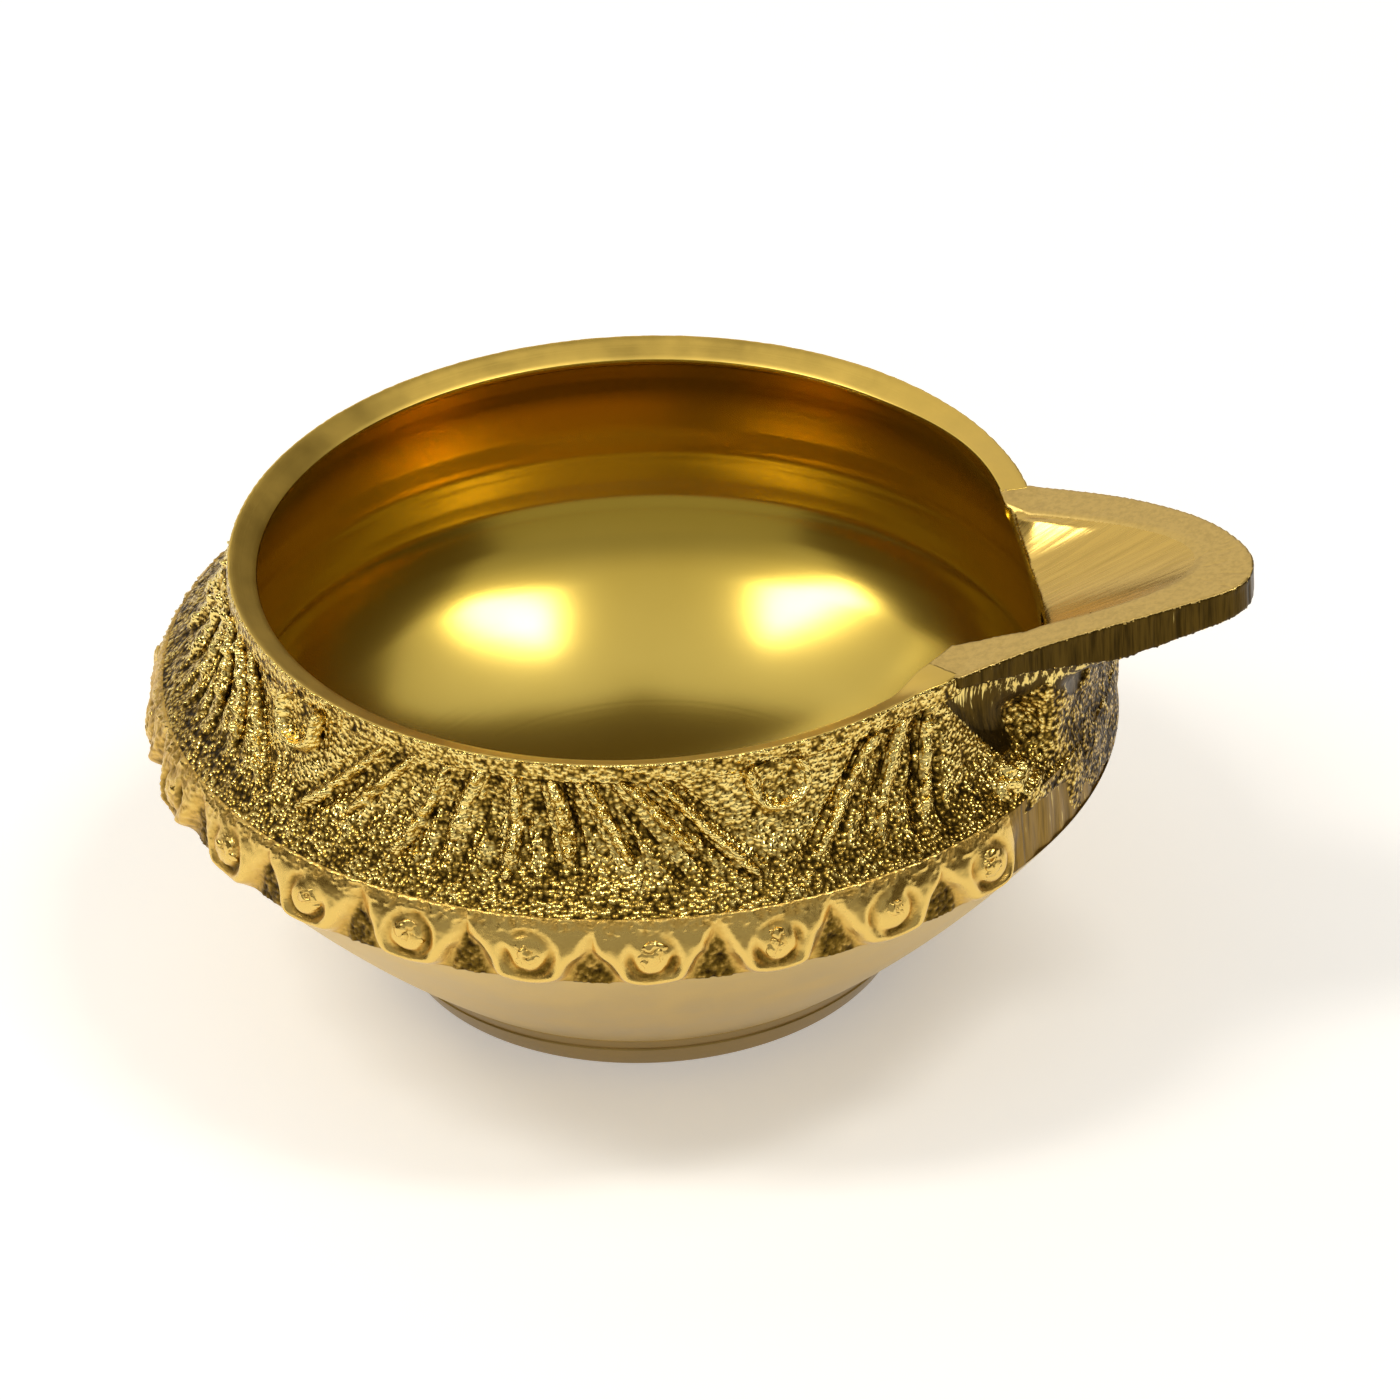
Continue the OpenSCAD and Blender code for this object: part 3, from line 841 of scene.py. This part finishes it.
class LAMP_OT_lip(bpy.types.Operator):
    """Turns the lip that slopes into the bowl and levels it towards the spout's roots"""
    bl_idname = "lamp.lip"
    bl_label = "Lip"

    def execute(self, context):
        sizes = context.scene.lamp_sizes
        rows = 10
        top = straight((MOUTH_R, MOUTH_Z), (RIM_R, RIM_Z), steps=4)[1:]
        heights = [RIM_Z + (LIP_Z - RIM_Z) * i / rows for i in range(1, rows + 1)]
        line = inside(sizes, LIP_Z, MOUTH_Z) + top + [(shoulder_r(z), z) for z in heights]
        bm = lathe(line, 1000, LIP_END, 360 - 2 * LIP_END)
        soften(bm, [(RIM_R, RIM_Z), (MOUTH_R, MOUTH_Z)], sizes.lip_edge / MM)
        relief = bm.verts.layers.float.new("relief")
        size, tall = sizes.grain / MM, sizes.grain_height / MM
        for vert in bm.verts:
            co = vert.co
            r = co.xy.length
            degrees = bearing(co)
            # The lip levels out over a longer way at the far root than at the near one
            level = smooth(65, 30, degrees) if 0 < degrees < 90 else smooth(34.5, 27.2, from_spout(degrees))
            if co.z > MOUTH_Z - 0.3 and r < RIM_R - 0.02:
                co.z += level * (RIM_Z - MOUTH_Z) * (1 - share((r - MOUTH_R) / (RIM_R - MOUTH_R)))
            push = 0.0
            if -40 < degrees < 0:
                push = 0.55 * smooth(33, 27, -degrees) * smooth(MOUTH_R + 1, RIM_R, r)
            if r > RIM_R - 0.03 and co.z < RIM_Z - 0.25:
                grains = sand(co, size)
                push += tall * 0.8 * grains * (1 - ground(degrees, co.z))
                vert[relief] = 0.45 + 0.4 * grains
            elif r > RIM_R - 0.35 and co.z > RIM_Z - 0.4:
                push += 0.05 * noise.noise(co / 0.5)
                vert[relief] = 0.7
            co.xy *= (r + push) / r
        for face in bm.faces:
            outside = face.normal.xy.dot(face.calc_center_median().xy.normalized()) > 0.6
            face.material_index = 1 if outside else (2 if face.normal.z < 0.5 else 0)
        piece("rim_lip_turned", bm, ["rim_lip"],
              ["Brass_turned_wiped", "Brass_sand_cast", "Brass_turned_buffed"])
        return {"FINISHED"}


class LAMP_OT_spout(bpy.types.Operator):
    """Files the spout: file lines on its sides, nicks across its edges, streaks along its trough"""
    bl_idname = "lamp.spout"
    bl_label = "Spout"

    def execute(self, context):
        sizes = context.scene.lamp_sizes
        bm = evened(spout_solid(sizes), 0.115, 9)
        bm.normal_update()
        rng = random.Random(5)
        pitch = sizes.file_line / MM
        nicks = [(rng.uniform(22, 46), rng.choice((-1, 1)), rng.uniform(0.08, 0.13), rng.uniform(0.4, 1.0))
                 for _ in range(34)]
        relief = bm.verts.layers.float.new("relief")
        moves = []
        for vert in bm.verts:
            co, no = vert.co, vert.normal
            move = 0.0
            along = along_spout(co)
            gap = spout_top(co.x) - co.z
            low = co.z - spout_low(co.x)
            grains = sand(co, sizes.grain / MM)
            vert[relief] = share(0.4 + 0.4 * grains)
            if no.z > 0.7 and gap < 0.15:
                short = smooth(0.0, 0.3, noise.noise(co / 1.1))
                for at, hand, wide, deep in nicks:
                    if co.y * hand > 0 and abs(along - at) < 3 * wide:
                        move -= sizes.nick_depth / MM * deep * short * hump(along - at, wide)
            elif mouth_wall(co, no):
                move = 0.0
            elif abs(no.z) < 0.75:
                line = noise.noise(Vector((along / pitch, 0, co.z / 6)))
                move += (0.06 * line - 0.03) * smooth(0.1, 0.7, gap)
                move += 0.05 * smooth(0.9, 0.1, low) * noise.noise(Vector((along / 0.5, 0, co.z / 1.5)))
            elif no.z > 0.2:
                # The far flank was cut flatter beside the mouth, up to a line across the trough
                facet = smooth(23.5, 26, co.x) * max(0.0, (co.y - 5.0) * 0.8 - (co.x - 26.0) * 0.25)
                move += 0.2 * facet * smooth(35, 31, co.x) * smooth(0.15, 0.5, gap)
                move += 0.012 * noise.noise(Vector((co.y / 0.4 - co.x * 0.9, co.x / 6, 0)))
            else:
                move += 0.1 * grains
            moves.append(move)
        move_out(bm, moves)
        for face in bm.faces:
            middle, no = face.calc_center_median(), face.normal
            if mouth_wall(middle, no):
                face.material_index = 3
            elif no.z > 0.2 and spout_top(middle.x) - middle.z > 0.14:
                face.material_index = 1
            elif no.z < -0.5:
                face.material_index = 2
            else:
                face.material_index = 0 if no.z > 0.5 else 4
        piece("spout_filed", bm, ["spout"],
              ["Brass_filed", "Brass_brushed", "Brass_sand_cast", "Brass_turned_buffed", "Brass_filed_dull"])
        return {"FINISHED"}


class LAMP_OT_throat(bpy.types.Operator):
    """Roughs out the web of cast metal under the spout and grinds its corners hollow"""
    bl_idname = "lamp.throat"
    bl_label = "Spout throat"

    def web(self, sizes):
        """The web blended into the spout and the wall, cut clear of the rooms and down to its own wedge."""
        core = spout_block(0.6, lambda x: spout_under(x) - 0.8)
        bm = join_nodes(take(spout_solid(sizes), core), "shoulder", "belt", "bowl", "spout_throat", "rim_lip")
        bm = evened(bm, 0.35, 90)
        bm = cut(bm, trough_room(0.5), mouth_room(0.4), bowl_room(sizes, 0.4))
        spread = math.tan(math.radians(WEB_HALF))
        half = [(WEB_START_X, -WEB_START_X * spread), (WEB_SIDE / spread, -WEB_SIDE), (WEB_END_X, -WEB_SIDE)]
        room = prism(half + [(x, -y) for x, y in reversed(half)], BELT_Z + 0.1, CLEAR_Z)
        return evened(cut(bm, room, operation="INTERSECT"), 0.16, 2)

    def execute(self, context):
        sizes = context.scene.lamp_sizes
        bm = self.web(sizes)
        bm.normal_update()
        relief, filed, glint = (bm.verts.layers.float.new(name) for name in ("relief", "filed", "glint"))
        moves = []
        for vert in bm.verts:
            co = vert.co
            degrees = bearing(co)
            side = from_spout(degrees)
            border = worn_edge(degrees) + 0.5 * noise.noise(co / 1.5)
            facet = ground(degrees, co.z) * smooth(17, 20, side)
            foot = smooth(20.8, 19.8, co.z + 0.4 * noise.noise(co / 1.5)) * smooth(12, 16, side)
            worn = max(smooth(border - 0.25, border + 0.25, co.z), facet, foot)
            under = smooth(25.5, 21.5, side)
            grains = sand(co, sizes.grain / MM)
            lump = math.exp(-((degrees + 22.5) / 3.2) ** 2 - ((co.z - 22.6) / 0.9) ** 2)
            move = (1 - worn) * under * (0.22 + 0.1 * grains + 0.3 * noise.noise(co / 2.4))
            move += 1.0 * lump * (0.45 + noise.noise(co / 0.8))
            move += worn * 0.035 * noise.noise(Vector(((degrees * 0.5 + co.z * 0.45) / 0.4, 0, co.z / 8)))
            # Beyond the roots the web lies under the grain of the shoulder, and low down under the belt
            higher = 2.5 * smooth(28, 29.3, co.z)
            sunk = 0.1 + 0.25 * smooth(25 + higher, 27.5 + higher, side) + 0.5 * foot
            inner = vert.normal.dot(Vector((co.x, co.y, 0))) < 0 or (vert.normal.z > 0.4 and co.z > 27.3)
            moves.append(-0.1 if inner else move - sunk)
            # Right under the spout the colour is lowered, as painted shade
            vert[relief] = share(0.3 - 0.2 * smooth(14, 8, side) + 0.42 * grains * (1 - worn) + 0.6 * lump)
            vert[filed] = worn
            # Painted glints along upright strokes where the file ran off the sides into the hollow below them
            vert[glint] = worn * smooth(2.6, 1.0, spout_low(co.x) - co.z) * smooth(37, 34, co.x)
        move_out(bm, moves)
        for face in bm.faces:
            level = sum(v[filed] for v in face.verts) / len(face.verts)
            face.material_index = 2 if looks_in(face) else (1 if level > 0.5 else 0)
        piece("spout_throat_cast", bm, ["spout_throat"],
              ["Brass_sand_cast", "Brass_filed_dull", "Brass_turned_buffed"])
        return {"FINISHED"}


def add(tree, kind, inputs=None, out=0, stops=(), **settings):
    """Adds a node with its settings, sets or links its inputs, and gives one of its outputs."""
    made = tree.nodes.new(kind)
    made.location = (200 * len(tree.nodes), 0)
    for name, value in settings.items():
        setattr(made, name, value)
    for name, value in (inputs or {}).items():
        if isinstance(value, bpy.types.NodeSocket):
            tree.links.new(value, made.inputs[name])
        else:
            made.inputs[name].default_value = value
    if stops:
        ramp = made.color_ramp
        while len(ramp.elements) < len(stops):
            ramp.elements.new(0.5)
        for element, (place, shade) in zip(ramp.elements, stops):
            element.position, element.color = place, shade
    return made.outputs[out] if made.outputs else None


def rgba(base, strength=1.0):
    """A colour, made darker or brighter, for a ramp."""
    return tuple(min(1, c * strength) for c in base) + (1,)


def metal(tree, tint, gloss, height, strength, depth):
    """The bare metal that every brass finish ends in, with its height pattern a depth in millimetres."""
    bump = add(tree, "ShaderNodeBump", {"Height": height, "Strength": strength, "Distance": depth * MM})
    skin = add(tree, "ShaderNodeBsdfPrincipled",
               {"Base Color": tint, "Metallic": 1.0, "Roughness": gloss, "Normal": bump})
    add(tree, "ShaderNodeOutputMaterial", {"Surface": skin})


def turned_rings(tree, coords):
    """Distance from the lamp's axis and height as a vector, in which noise makes rings, and the height."""
    flat = add(tree, "ShaderNodeMapping", {"Vector": coords, "Scale": (1, 1, 0)})
    reach = add(tree, "ShaderNodeVectorMath", {0: flat}, out="Value", operation="LENGTH")
    height = add(tree, "ShaderNodeSeparateXYZ", {"Vector": coords}, out="Z")
    return add(tree, "ShaderNodeCombineXYZ", {"X": reach, "Y": height}), height


def buffed_brass(tree, colours):
    # Brass turned and then buffed: a soft mirror on the floor, with the lathe's rings and the cloth's smears
    # in it; the wall above it got less of the buffing and is rougher, and its colour is painted darker as
    # painted shade
    coords = add(tree, "ShaderNodeTexCoord", out="Object")
    place, height = turned_rings(tree, coords)
    # Rings 0.3 mm apart, wider than the tool's real feed so that they show
    rings = add(tree, "ShaderNodeTexNoise",
                {"Vector": place, "Scale": 1 / (0.6 * MM), "Detail": 2.0, "Roughness": 0.6})
    smear = add(tree, "ShaderNodeTexNoise",
                {"Vector": coords, "Scale": 1 / (9 * MM), "Detail": 3.0, "Roughness": 0.55})
    up = add(tree, "ShaderNodeMapRange", {"Value": height, "From Min": 9.5 * MM, "From Max": 18 * MM})
    mixed = add(tree, "ShaderNodeMath", {0: smear, 1: 0.35, 2: up}, operation="MULTIPLY_ADD")
    gloss = add(tree, "ShaderNodeMapRange",
                {"Value": mixed, "From Min": 0.1, "From Max": 1.25, "To Min": 0.17, "To Max": 0.24})
    # From the floor up the wall the colour turns to the darker wall brass: painted shade
    tint = add(tree, "ShaderNodeValToRGB", {"Fac": mixed},
               stops=((0.1, rgba(colours.mirror)), (0.95, rgba(colours.wall))))
    metal(tree, tint, gloss, rings, 0.35, 0.006)


def satin_brass(tree, colours, base):
    # Brass as a fine turning tool leaves it: a satin sheen made of close rings, a little dulled by handling
    coords = add(tree, "ShaderNodeTexCoord", out="Object")
    place, _ = turned_rings(tree, coords)
    # Tool lines 0.2 mm apart
    rings = add(tree, "ShaderNodeTexNoise",
                {"Vector": place, "Scale": 1 / (0.4 * MM), "Detail": 3.0, "Roughness": 0.7})
    dull = add(tree, "ShaderNodeTexNoise",
               {"Vector": coords, "Scale": 1 / (5 * MM), "Detail": 4.0, "Roughness": 0.6})
    gloss = add(tree, "ShaderNodeMapRange",
                {"Value": dull, "From Min": 0.3, "From Max": 0.7, "To Min": 0.32, "To Max": 0.42})
    # The foot's and the lip's colours are darker and brighter copies of the turned brass: painted shade on
    # the foot, painted sheen on the lip
    shade = getattr(colours, base)
    tint = add(tree, "ShaderNodeValToRGB", {"Fac": dull},
               stops=((0.3, rgba(shade, 0.92)), (0.7, rgba(shade, 1.05))))
    metal(tree, tint, gloss, rings, 0.5, 0.02)


def cast_brass(tree, colours):
    # Brass as it left the sand: bright worn grain tops over pits where the dark skin of the casting stays
    coords = add(tree, "ShaderNodeTexCoord", out="Object")
    # The relief attribute also carries painted shade: darker in the shoulder's furrows and right under the
    # spout
    relief = add(tree, "ShaderNodeAttribute", out="Fac", attribute_name="relief")
    # Sand grains 0.3 mm apart
    near = add(tree, "ShaderNodeTexVoronoi", {"Vector": coords, "Scale": 1 / (0.33 * MM)})
    grain = add(tree, "ShaderNodeMapRange", {"Value": near, "From Max": 0.9, "To Min": 1.0, "To Max": 0.0})
    mixed = add(tree, "ShaderNodeMath", {0: grain, 1: 0.75, 2: relief}, operation="MULTIPLY_ADD")
    level = add(tree, "ShaderNodeMapRange", {"Value": mixed, "From Min": 0.3, "From Max": 1.16})
    tint = add(tree, "ShaderNodeValToRGB", {"Fac": level},
               stops=((0.1, linear("#34260a")), (0.34, rgba(colours.cast_low)), (0.56, linear("#c9a650")),
                      (0.8, rgba(colours.cast_high))))
    gloss = add(tree, "ShaderNodeMapRange",
                {"Value": level, "From Min": 0.2, "From Max": 0.7, "To Min": 0.48, "To Max": 0.1})
    metal(tree, tint, gloss, grain, 1.0, 0.12)


def petal_brass(tree, colours):
    # Cast brass buffed on a wheel: bright rounded high places, and the sand's dark grain left in the hollows
    coords = add(tree, "ShaderNodeTexCoord", out="Object")
    relief = add(tree, "ShaderNodeAttribute", out="Fac", attribute_name="relief")
    grain = add(tree, "ShaderNodeTexNoise",
                {"Vector": coords, "Scale": 1 / (0.36 * MM), "Detail": 3.0, "Roughness": 0.65})
    mixed = add(tree, "ShaderNodeMath", {0: grain, 1: 0.4, 2: relief}, operation="MULTIPLY_ADD")
    level = add(tree, "ShaderNodeMapRange", {"Value": mixed, "From Min": 0.15, "From Max": 1.1})
    tint = add(tree, "ShaderNodeValToRGB", {"Fac": level},
               stops=((0.03, linear("#33240a")), (0.3, rgba(colours.cast_low)), (0.62, linear("#d2ab55")),
                      (0.9, rgba(colours.petal))))
    gloss = add(tree, "ShaderNodeMapRange",
                {"Value": level, "From Min": 0.4, "From Max": 1.0, "To Min": 0.5, "To Max": 0.24})
    worn = add(tree, "ShaderNodeMapRange",
               {"Value": relief, "From Min": 0.3, "From Max": 0.85, "To Min": 1.0, "To Max": 0.06})
    metal(tree, tint, gloss, grain, worn, 0.15)


def filed_brass(tree, colours, base, darkest, painted_glint_colour, depth):
    # Brass under a flat file: satin on the level faces, with upright scratches down the sides
    coords = add(tree, "ShaderNodeTexCoord", out="Object")
    # Scratches 0.3 mm apart and many times as long, upright
    lines = add(tree, "ShaderNodeMapping",
                {"Vector": coords, "Scale": (1 / (0.4 * MM), 1 / (0.4 * MM), 1 / (7 * MM))})
    scratch = add(tree, "ShaderNodeTexNoise",
                  {"Vector": lines, "Scale": 1.0, "Detail": 3.0, "Roughness": 0.7})
    # Painted glints: the glint attribute and the ramp's top stop brighten the scratches into glints
    glint = add(tree, "ShaderNodeAttribute", out="Fac", attribute_name="glint")
    mixed = add(tree, "ShaderNodeMath", {0: glint, 1: 0.16, 2: scratch}, operation="MULTIPLY_ADD")
    shade = getattr(colours, base)
    low, high = rgba(shade, darkest), rgba(shade, 1.06)
    tint = add(tree, "ShaderNodeValToRGB", {"Fac": mixed},
               stops=((0.35, low), (0.58, high), (0.66, high), (0.72, rgba(getattr(colours, painted_glint_colour)))))
    gloss = add(tree, "ShaderNodeMapRange",
                {"Value": scratch, "From Min": 0.3, "From Max": 0.7, "To Min": 0.42, "To Max": 0.3})
    metal(tree, tint, gloss, scratch, 0.7, depth)


def brushed_brass(tree, colours):
    # Brass brushed along the trough: long bright and dull streaks in a soft sheen
    coords = add(tree, "ShaderNodeTexCoord", out="Object")
    turned = add(tree, "ShaderNodeMapping", {"Vector": coords, "Rotation": (0, 0, math.radians(-24))})
    # Streaks 0.3 mm apart
    lines = add(tree, "ShaderNodeMapping",
                {"Vector": turned, "Scale": (1 / (14 * MM), 1 / (0.4 * MM), 1 / (3 * MM))})
    streak = add(tree, "ShaderNodeTexNoise",
                 {"Vector": lines, "Scale": 1.0, "Detail": 3.0, "Roughness": 0.65})
    tint = add(tree, "ShaderNodeValToRGB", {"Fac": streak},
               stops=((0.32, rgba(colours.trough, 0.86)), (0.62, rgba(colours.trough, 1.06))))
    gloss = add(tree, "ShaderNodeMapRange",
                {"Value": streak, "From Min": 0.3, "From Max": 0.7, "To Min": 0.34, "To Max": 0.2})
    metal(tree, tint, gloss, streak, 0.6, 0.03)


def floor_paper(tree, colours):
    # Pale studio paper, matt, bright enough to throw light up under the lamp
    tint = rgba(colours.floor)
    skin = add(tree, "ShaderNodeBsdfPrincipled",
               {"Base Color": tint, "Roughness": 0.9, "Emission Color": tint, "Emission Strength": 0.38})
    add(tree, "ShaderNodeOutputMaterial", {"Surface": skin})


def ceiling_cloth(tree, radiance):
    # White cotton cloth lit from behind, seen only as a soft pale reflection
    glow = add(tree, "ShaderNodeEmission", {"Color": SOFT_WHITE + (1,), "Strength": radiance})
    add(tree, "ShaderNodeOutputMaterial", {"Surface": glow})


FINISHES = {
    "Brass_turned_buffed": buffed_brass,
    "Brass_turned_satin": partial(satin_brass, base="turned"),
    # The foot: the turned brass painted darker, as painted shade
    "Brass_turned_dull": partial(satin_brass, base="foot"),
    # The lip: the turned brass painted brighter, as painted sheen
    "Brass_turned_wiped": partial(satin_brass, base="lip"),
    "Brass_sand_cast": cast_brass,
    "Brass_cast_buffed": petal_brass,
    # The spout's level edges, filed clean
    "Brass_filed": partial(filed_brass, base="filed", darkest=0.92, painted_glint_colour="filed", depth=0.012),
    # The sides and hollows: a darker brass as painted shade, with painted glints on the brightest scratches
    # of the file
    "Brass_filed_dull": partial(filed_brass, base="filed_painted_shade", darkest=0.45, painted_glint_colour="cast_high", depth=0.07),
    # The place under the spout where the band was ground off: brown between the coarse strokes, whose
    # brightest scratches carry painted glints
    "Brass_ground": partial(filed_brass, base="ground", darkest=0.6, painted_glint_colour="cast_high", depth=0.05),
    "Brass_brushed": brushed_brass,
    "Paper_matt": floor_paper,
}


def surface(name, build=None):
    """The material of that name, built the first time that it is asked for."""
    material = bpy.data.materials.get(name)
    if material is None:
        material = bpy.data.materials.new(name)
        material.use_nodes = True
        material.node_tree.nodes.clear()
        build = build or partial(FINISHES[name], colours=bpy.context.scene.lamp_colours)
        build(material.node_tree)
    return material


# The camera, fitted about a point on the lamp's axis, in degrees and millimetres: its turn from straight
# in front, its lift and roll, its distance, and how far right of that point and above it the frame is centred
VIEW_TURN, VIEW_LIFT, VIEW_ROLL = 15.5, 32.9, 2.7
VIEW_Z = 13.71
VIEW_DISTANCE = 783.5
VIEW_SHIFT = (3.82, 3.72)
LENS, SENSOR = 300, 36

SOFT_WHITE = (1.0, 0.97, 0.92)
# The lit cloth over the lamp, in heights of the cloth: to the right of the camera, away from it and up
CLOTH_Z = 1.9
CLOTH_SPAN = (-1.3, 1.0)
CLOTH_PLAN = ((-1.2, -0.55, 1), (0.9, -0.55, 1), (0.95, 0.58, 1), (0.71, 0.47, 1), (0.35, 0.25, 1),
              (0.0, 0.115, 1), (-0.3, 0.24, 1), (-0.58, 0.46, 1), (-1.2, 0.62, 1))


def strip(near, far):
    """A strip of the cloth between two lines across it, each by its place away from the camera and up."""
    left, right = CLOTH_SPAN
    return ((left, *near), (right, *near), (right, *far), (left, *far))


# Each cloth's plan and radiance: it darkens fold by fold towards the camera and hangs down behind it
CLOTHS = {
    "lit_cloth": (CLOTH_PLAN, 0.62),
    "cloth_fold_1": (strip((-0.66, 1), (-0.55, 1)), 0.54),
    "cloth_fold_2": (strip((-0.78, 1), (-0.66, 1)), 0.46),
    "cloth_fold_3": (strip((-0.93, 1), (-0.78, 1)), 0.39),
    "cloth_fold_4": (strip((-1.15, 1), (-0.93, 1)), 0.34),
    "hung_cloth": (strip((-1.15, 0.12), (-1.15, 1)), 0.4),
}


class LAMP_OT_stage(bpy.types.Operator):
    """Lays the floor, hangs the studio's lights and stands the camera"""
    bl_idname = "lamp.stage"
    bl_label = "Stage"

    def execute(self, context):
        turn, lift, roll = (math.radians(a) for a in (VIEW_TURN, VIEW_LIFT, VIEW_ROLL))
        right = Vector((math.cos(turn), math.sin(turn), 0))
        away = Vector((-math.sin(turn), math.cos(turn), 0))
        bm = bmesh.new()
        bmesh.ops.create_circle(bm, cap_ends=True, segments=96, radius=6)
        floor = loose(bm, "floor")
        floor.data.materials.append(surface("Paper_matt"))
        for name, (plan, radiance) in CLOTHS.items():
            bm = bmesh.new()
            spots = [CLOTH_Z * (right * x + away * y + Vector((0, 0, z))) for x, y, z in plan]
            bm.faces.new([bm.verts.new(p) for p in spots])
            cloth = loose(bm, name)
            cloth.data.materials.append(surface("Cotton_" + name, partial(ceiling_cloth, radiance=radiance)))
            cloth.visible_camera = False
        world = bpy.data.worlds.new("studio")
        world.use_nodes = True
        sky = world.node_tree.nodes["Background"]
        sky.inputs["Color"].default_value = (1.0, 0.72, 0.25, 1)
        sky.inputs["Strength"].default_value = 0.08
        context.scene.world = world
        context.scene.view_settings.view_transform = "Standard"
        # Each light's direction from the lamp, distance, width, depth and radiance
        for name, way, far, wide, deep, radiance in (
                ("softbox_right", (0.43, -0.02, 0.90), 1.3, 0.40, 0.24, 12.0),
                ("softbox_left", (-0.52, -0.24, 0.82), 1.3, 0.52, 0.26, 12.0),
                ("back_wall", -0.35 * right + 0.8 * away + Vector((0, 0, 0.57)), 2.4, 3.4, 2.4, 0.68)):
            light = bpy.data.lights.new(name, "AREA")
            light.shape, light.size, light.size_y = "RECTANGLE", wide, deep
            light.energy = radiance * math.pi * wide * deep
            light.color = SOFT_WHITE
            back = Vector(way).normalized()
            up = (back.cross(right) if abs(back.dot(right)) < 0.9 else back.cross(away)).normalized()
            lamp = self.stand(name, light, Vector((0, 0, 12 * MM)) + back * far, (up.cross(back), up, back))
            lamp.visible_camera = False
        back = Vector((math.sin(turn) * math.cos(lift), -math.cos(turn) * math.cos(lift), math.sin(lift)))
        up = back.cross(right)
        right, up = right * math.cos(roll) - up * math.sin(roll), up * math.cos(roll) + right * math.sin(roll)
        middle = Vector((0, 0, VIEW_Z * MM))
        place = middle + back * VIEW_DISTANCE * MM
        aim = middle + right * VIEW_SHIFT[0] * MM + up * VIEW_SHIFT[1] * MM
        back = (place - aim).normalized()
        right = up.cross(back).normalized()
        up = back.cross(right)
        data = bpy.data.cameras.new("camera")
        data.sensor_width, data.lens = SENSOR, LENS
        data.clip_start, data.clip_end = 0.01, 50
        context.scene.camera = self.stand("camera", data, place, (right, up, back))
        return {"FINISHED"}

    def stand(self, name, data, place, axes):
        """Stands a light or the camera at a place, turned to its right, up and back."""
        made = bpy.data.objects.new(name, data)
        bpy.context.collection.objects.link(made)
        made.matrix_world = Matrix.Translation(place) @ Matrix(axes).transposed().to_4x4()
        return made


STEPS = (LAMP_OT_foot, LAMP_OT_bowl, LAMP_OT_belt, LAMP_OT_shoulder, LAMP_OT_relief, LAMP_OT_petals,
         LAMP_OT_lip, LAMP_OT_spout, LAMP_OT_throat, LAMP_OT_stage)


class LAMP_PT_panel(bpy.types.Panel):
    """Lists the lamp's sizes, colours and steps"""
    bl_idname = "LAMP_PT_panel"
    bl_label = "Oil lamp"
    bl_space_type = "VIEW_3D"
    bl_region_type = "UI"
    bl_category = "Oil lamp"

    def draw(self, context):
        for group in (context.scene.lamp_sizes, context.scene.lamp_colours):
            box = self.layout.box()
            for name in group.__annotations__:
                box.prop(group, name)
        for step in STEPS:
            self.layout.operator(step.bl_idname)


CLASSES = (LampSizes, LampColours) + STEPS + (LAMP_PT_panel,)


def register():
    for cls in CLASSES:
        bpy.utils.register_class(cls)
    bpy.types.Scene.lamp_sizes = bpy.props.PointerProperty(type=LampSizes)
    bpy.types.Scene.lamp_colours = bpy.props.PointerProperty(type=LampColours)


def unregister():
    del bpy.types.Scene.lamp_colours
    del bpy.types.Scene.lamp_sizes
    for cls in reversed(CLASSES):
        bpy.utils.unregister_class(cls)


def main():
    register()
    for step in STEPS:
        group, name = step.bl_idname.split(".")
        getattr(getattr(bpy.ops, group), name)()


if __name__ == "__main__":
    main()
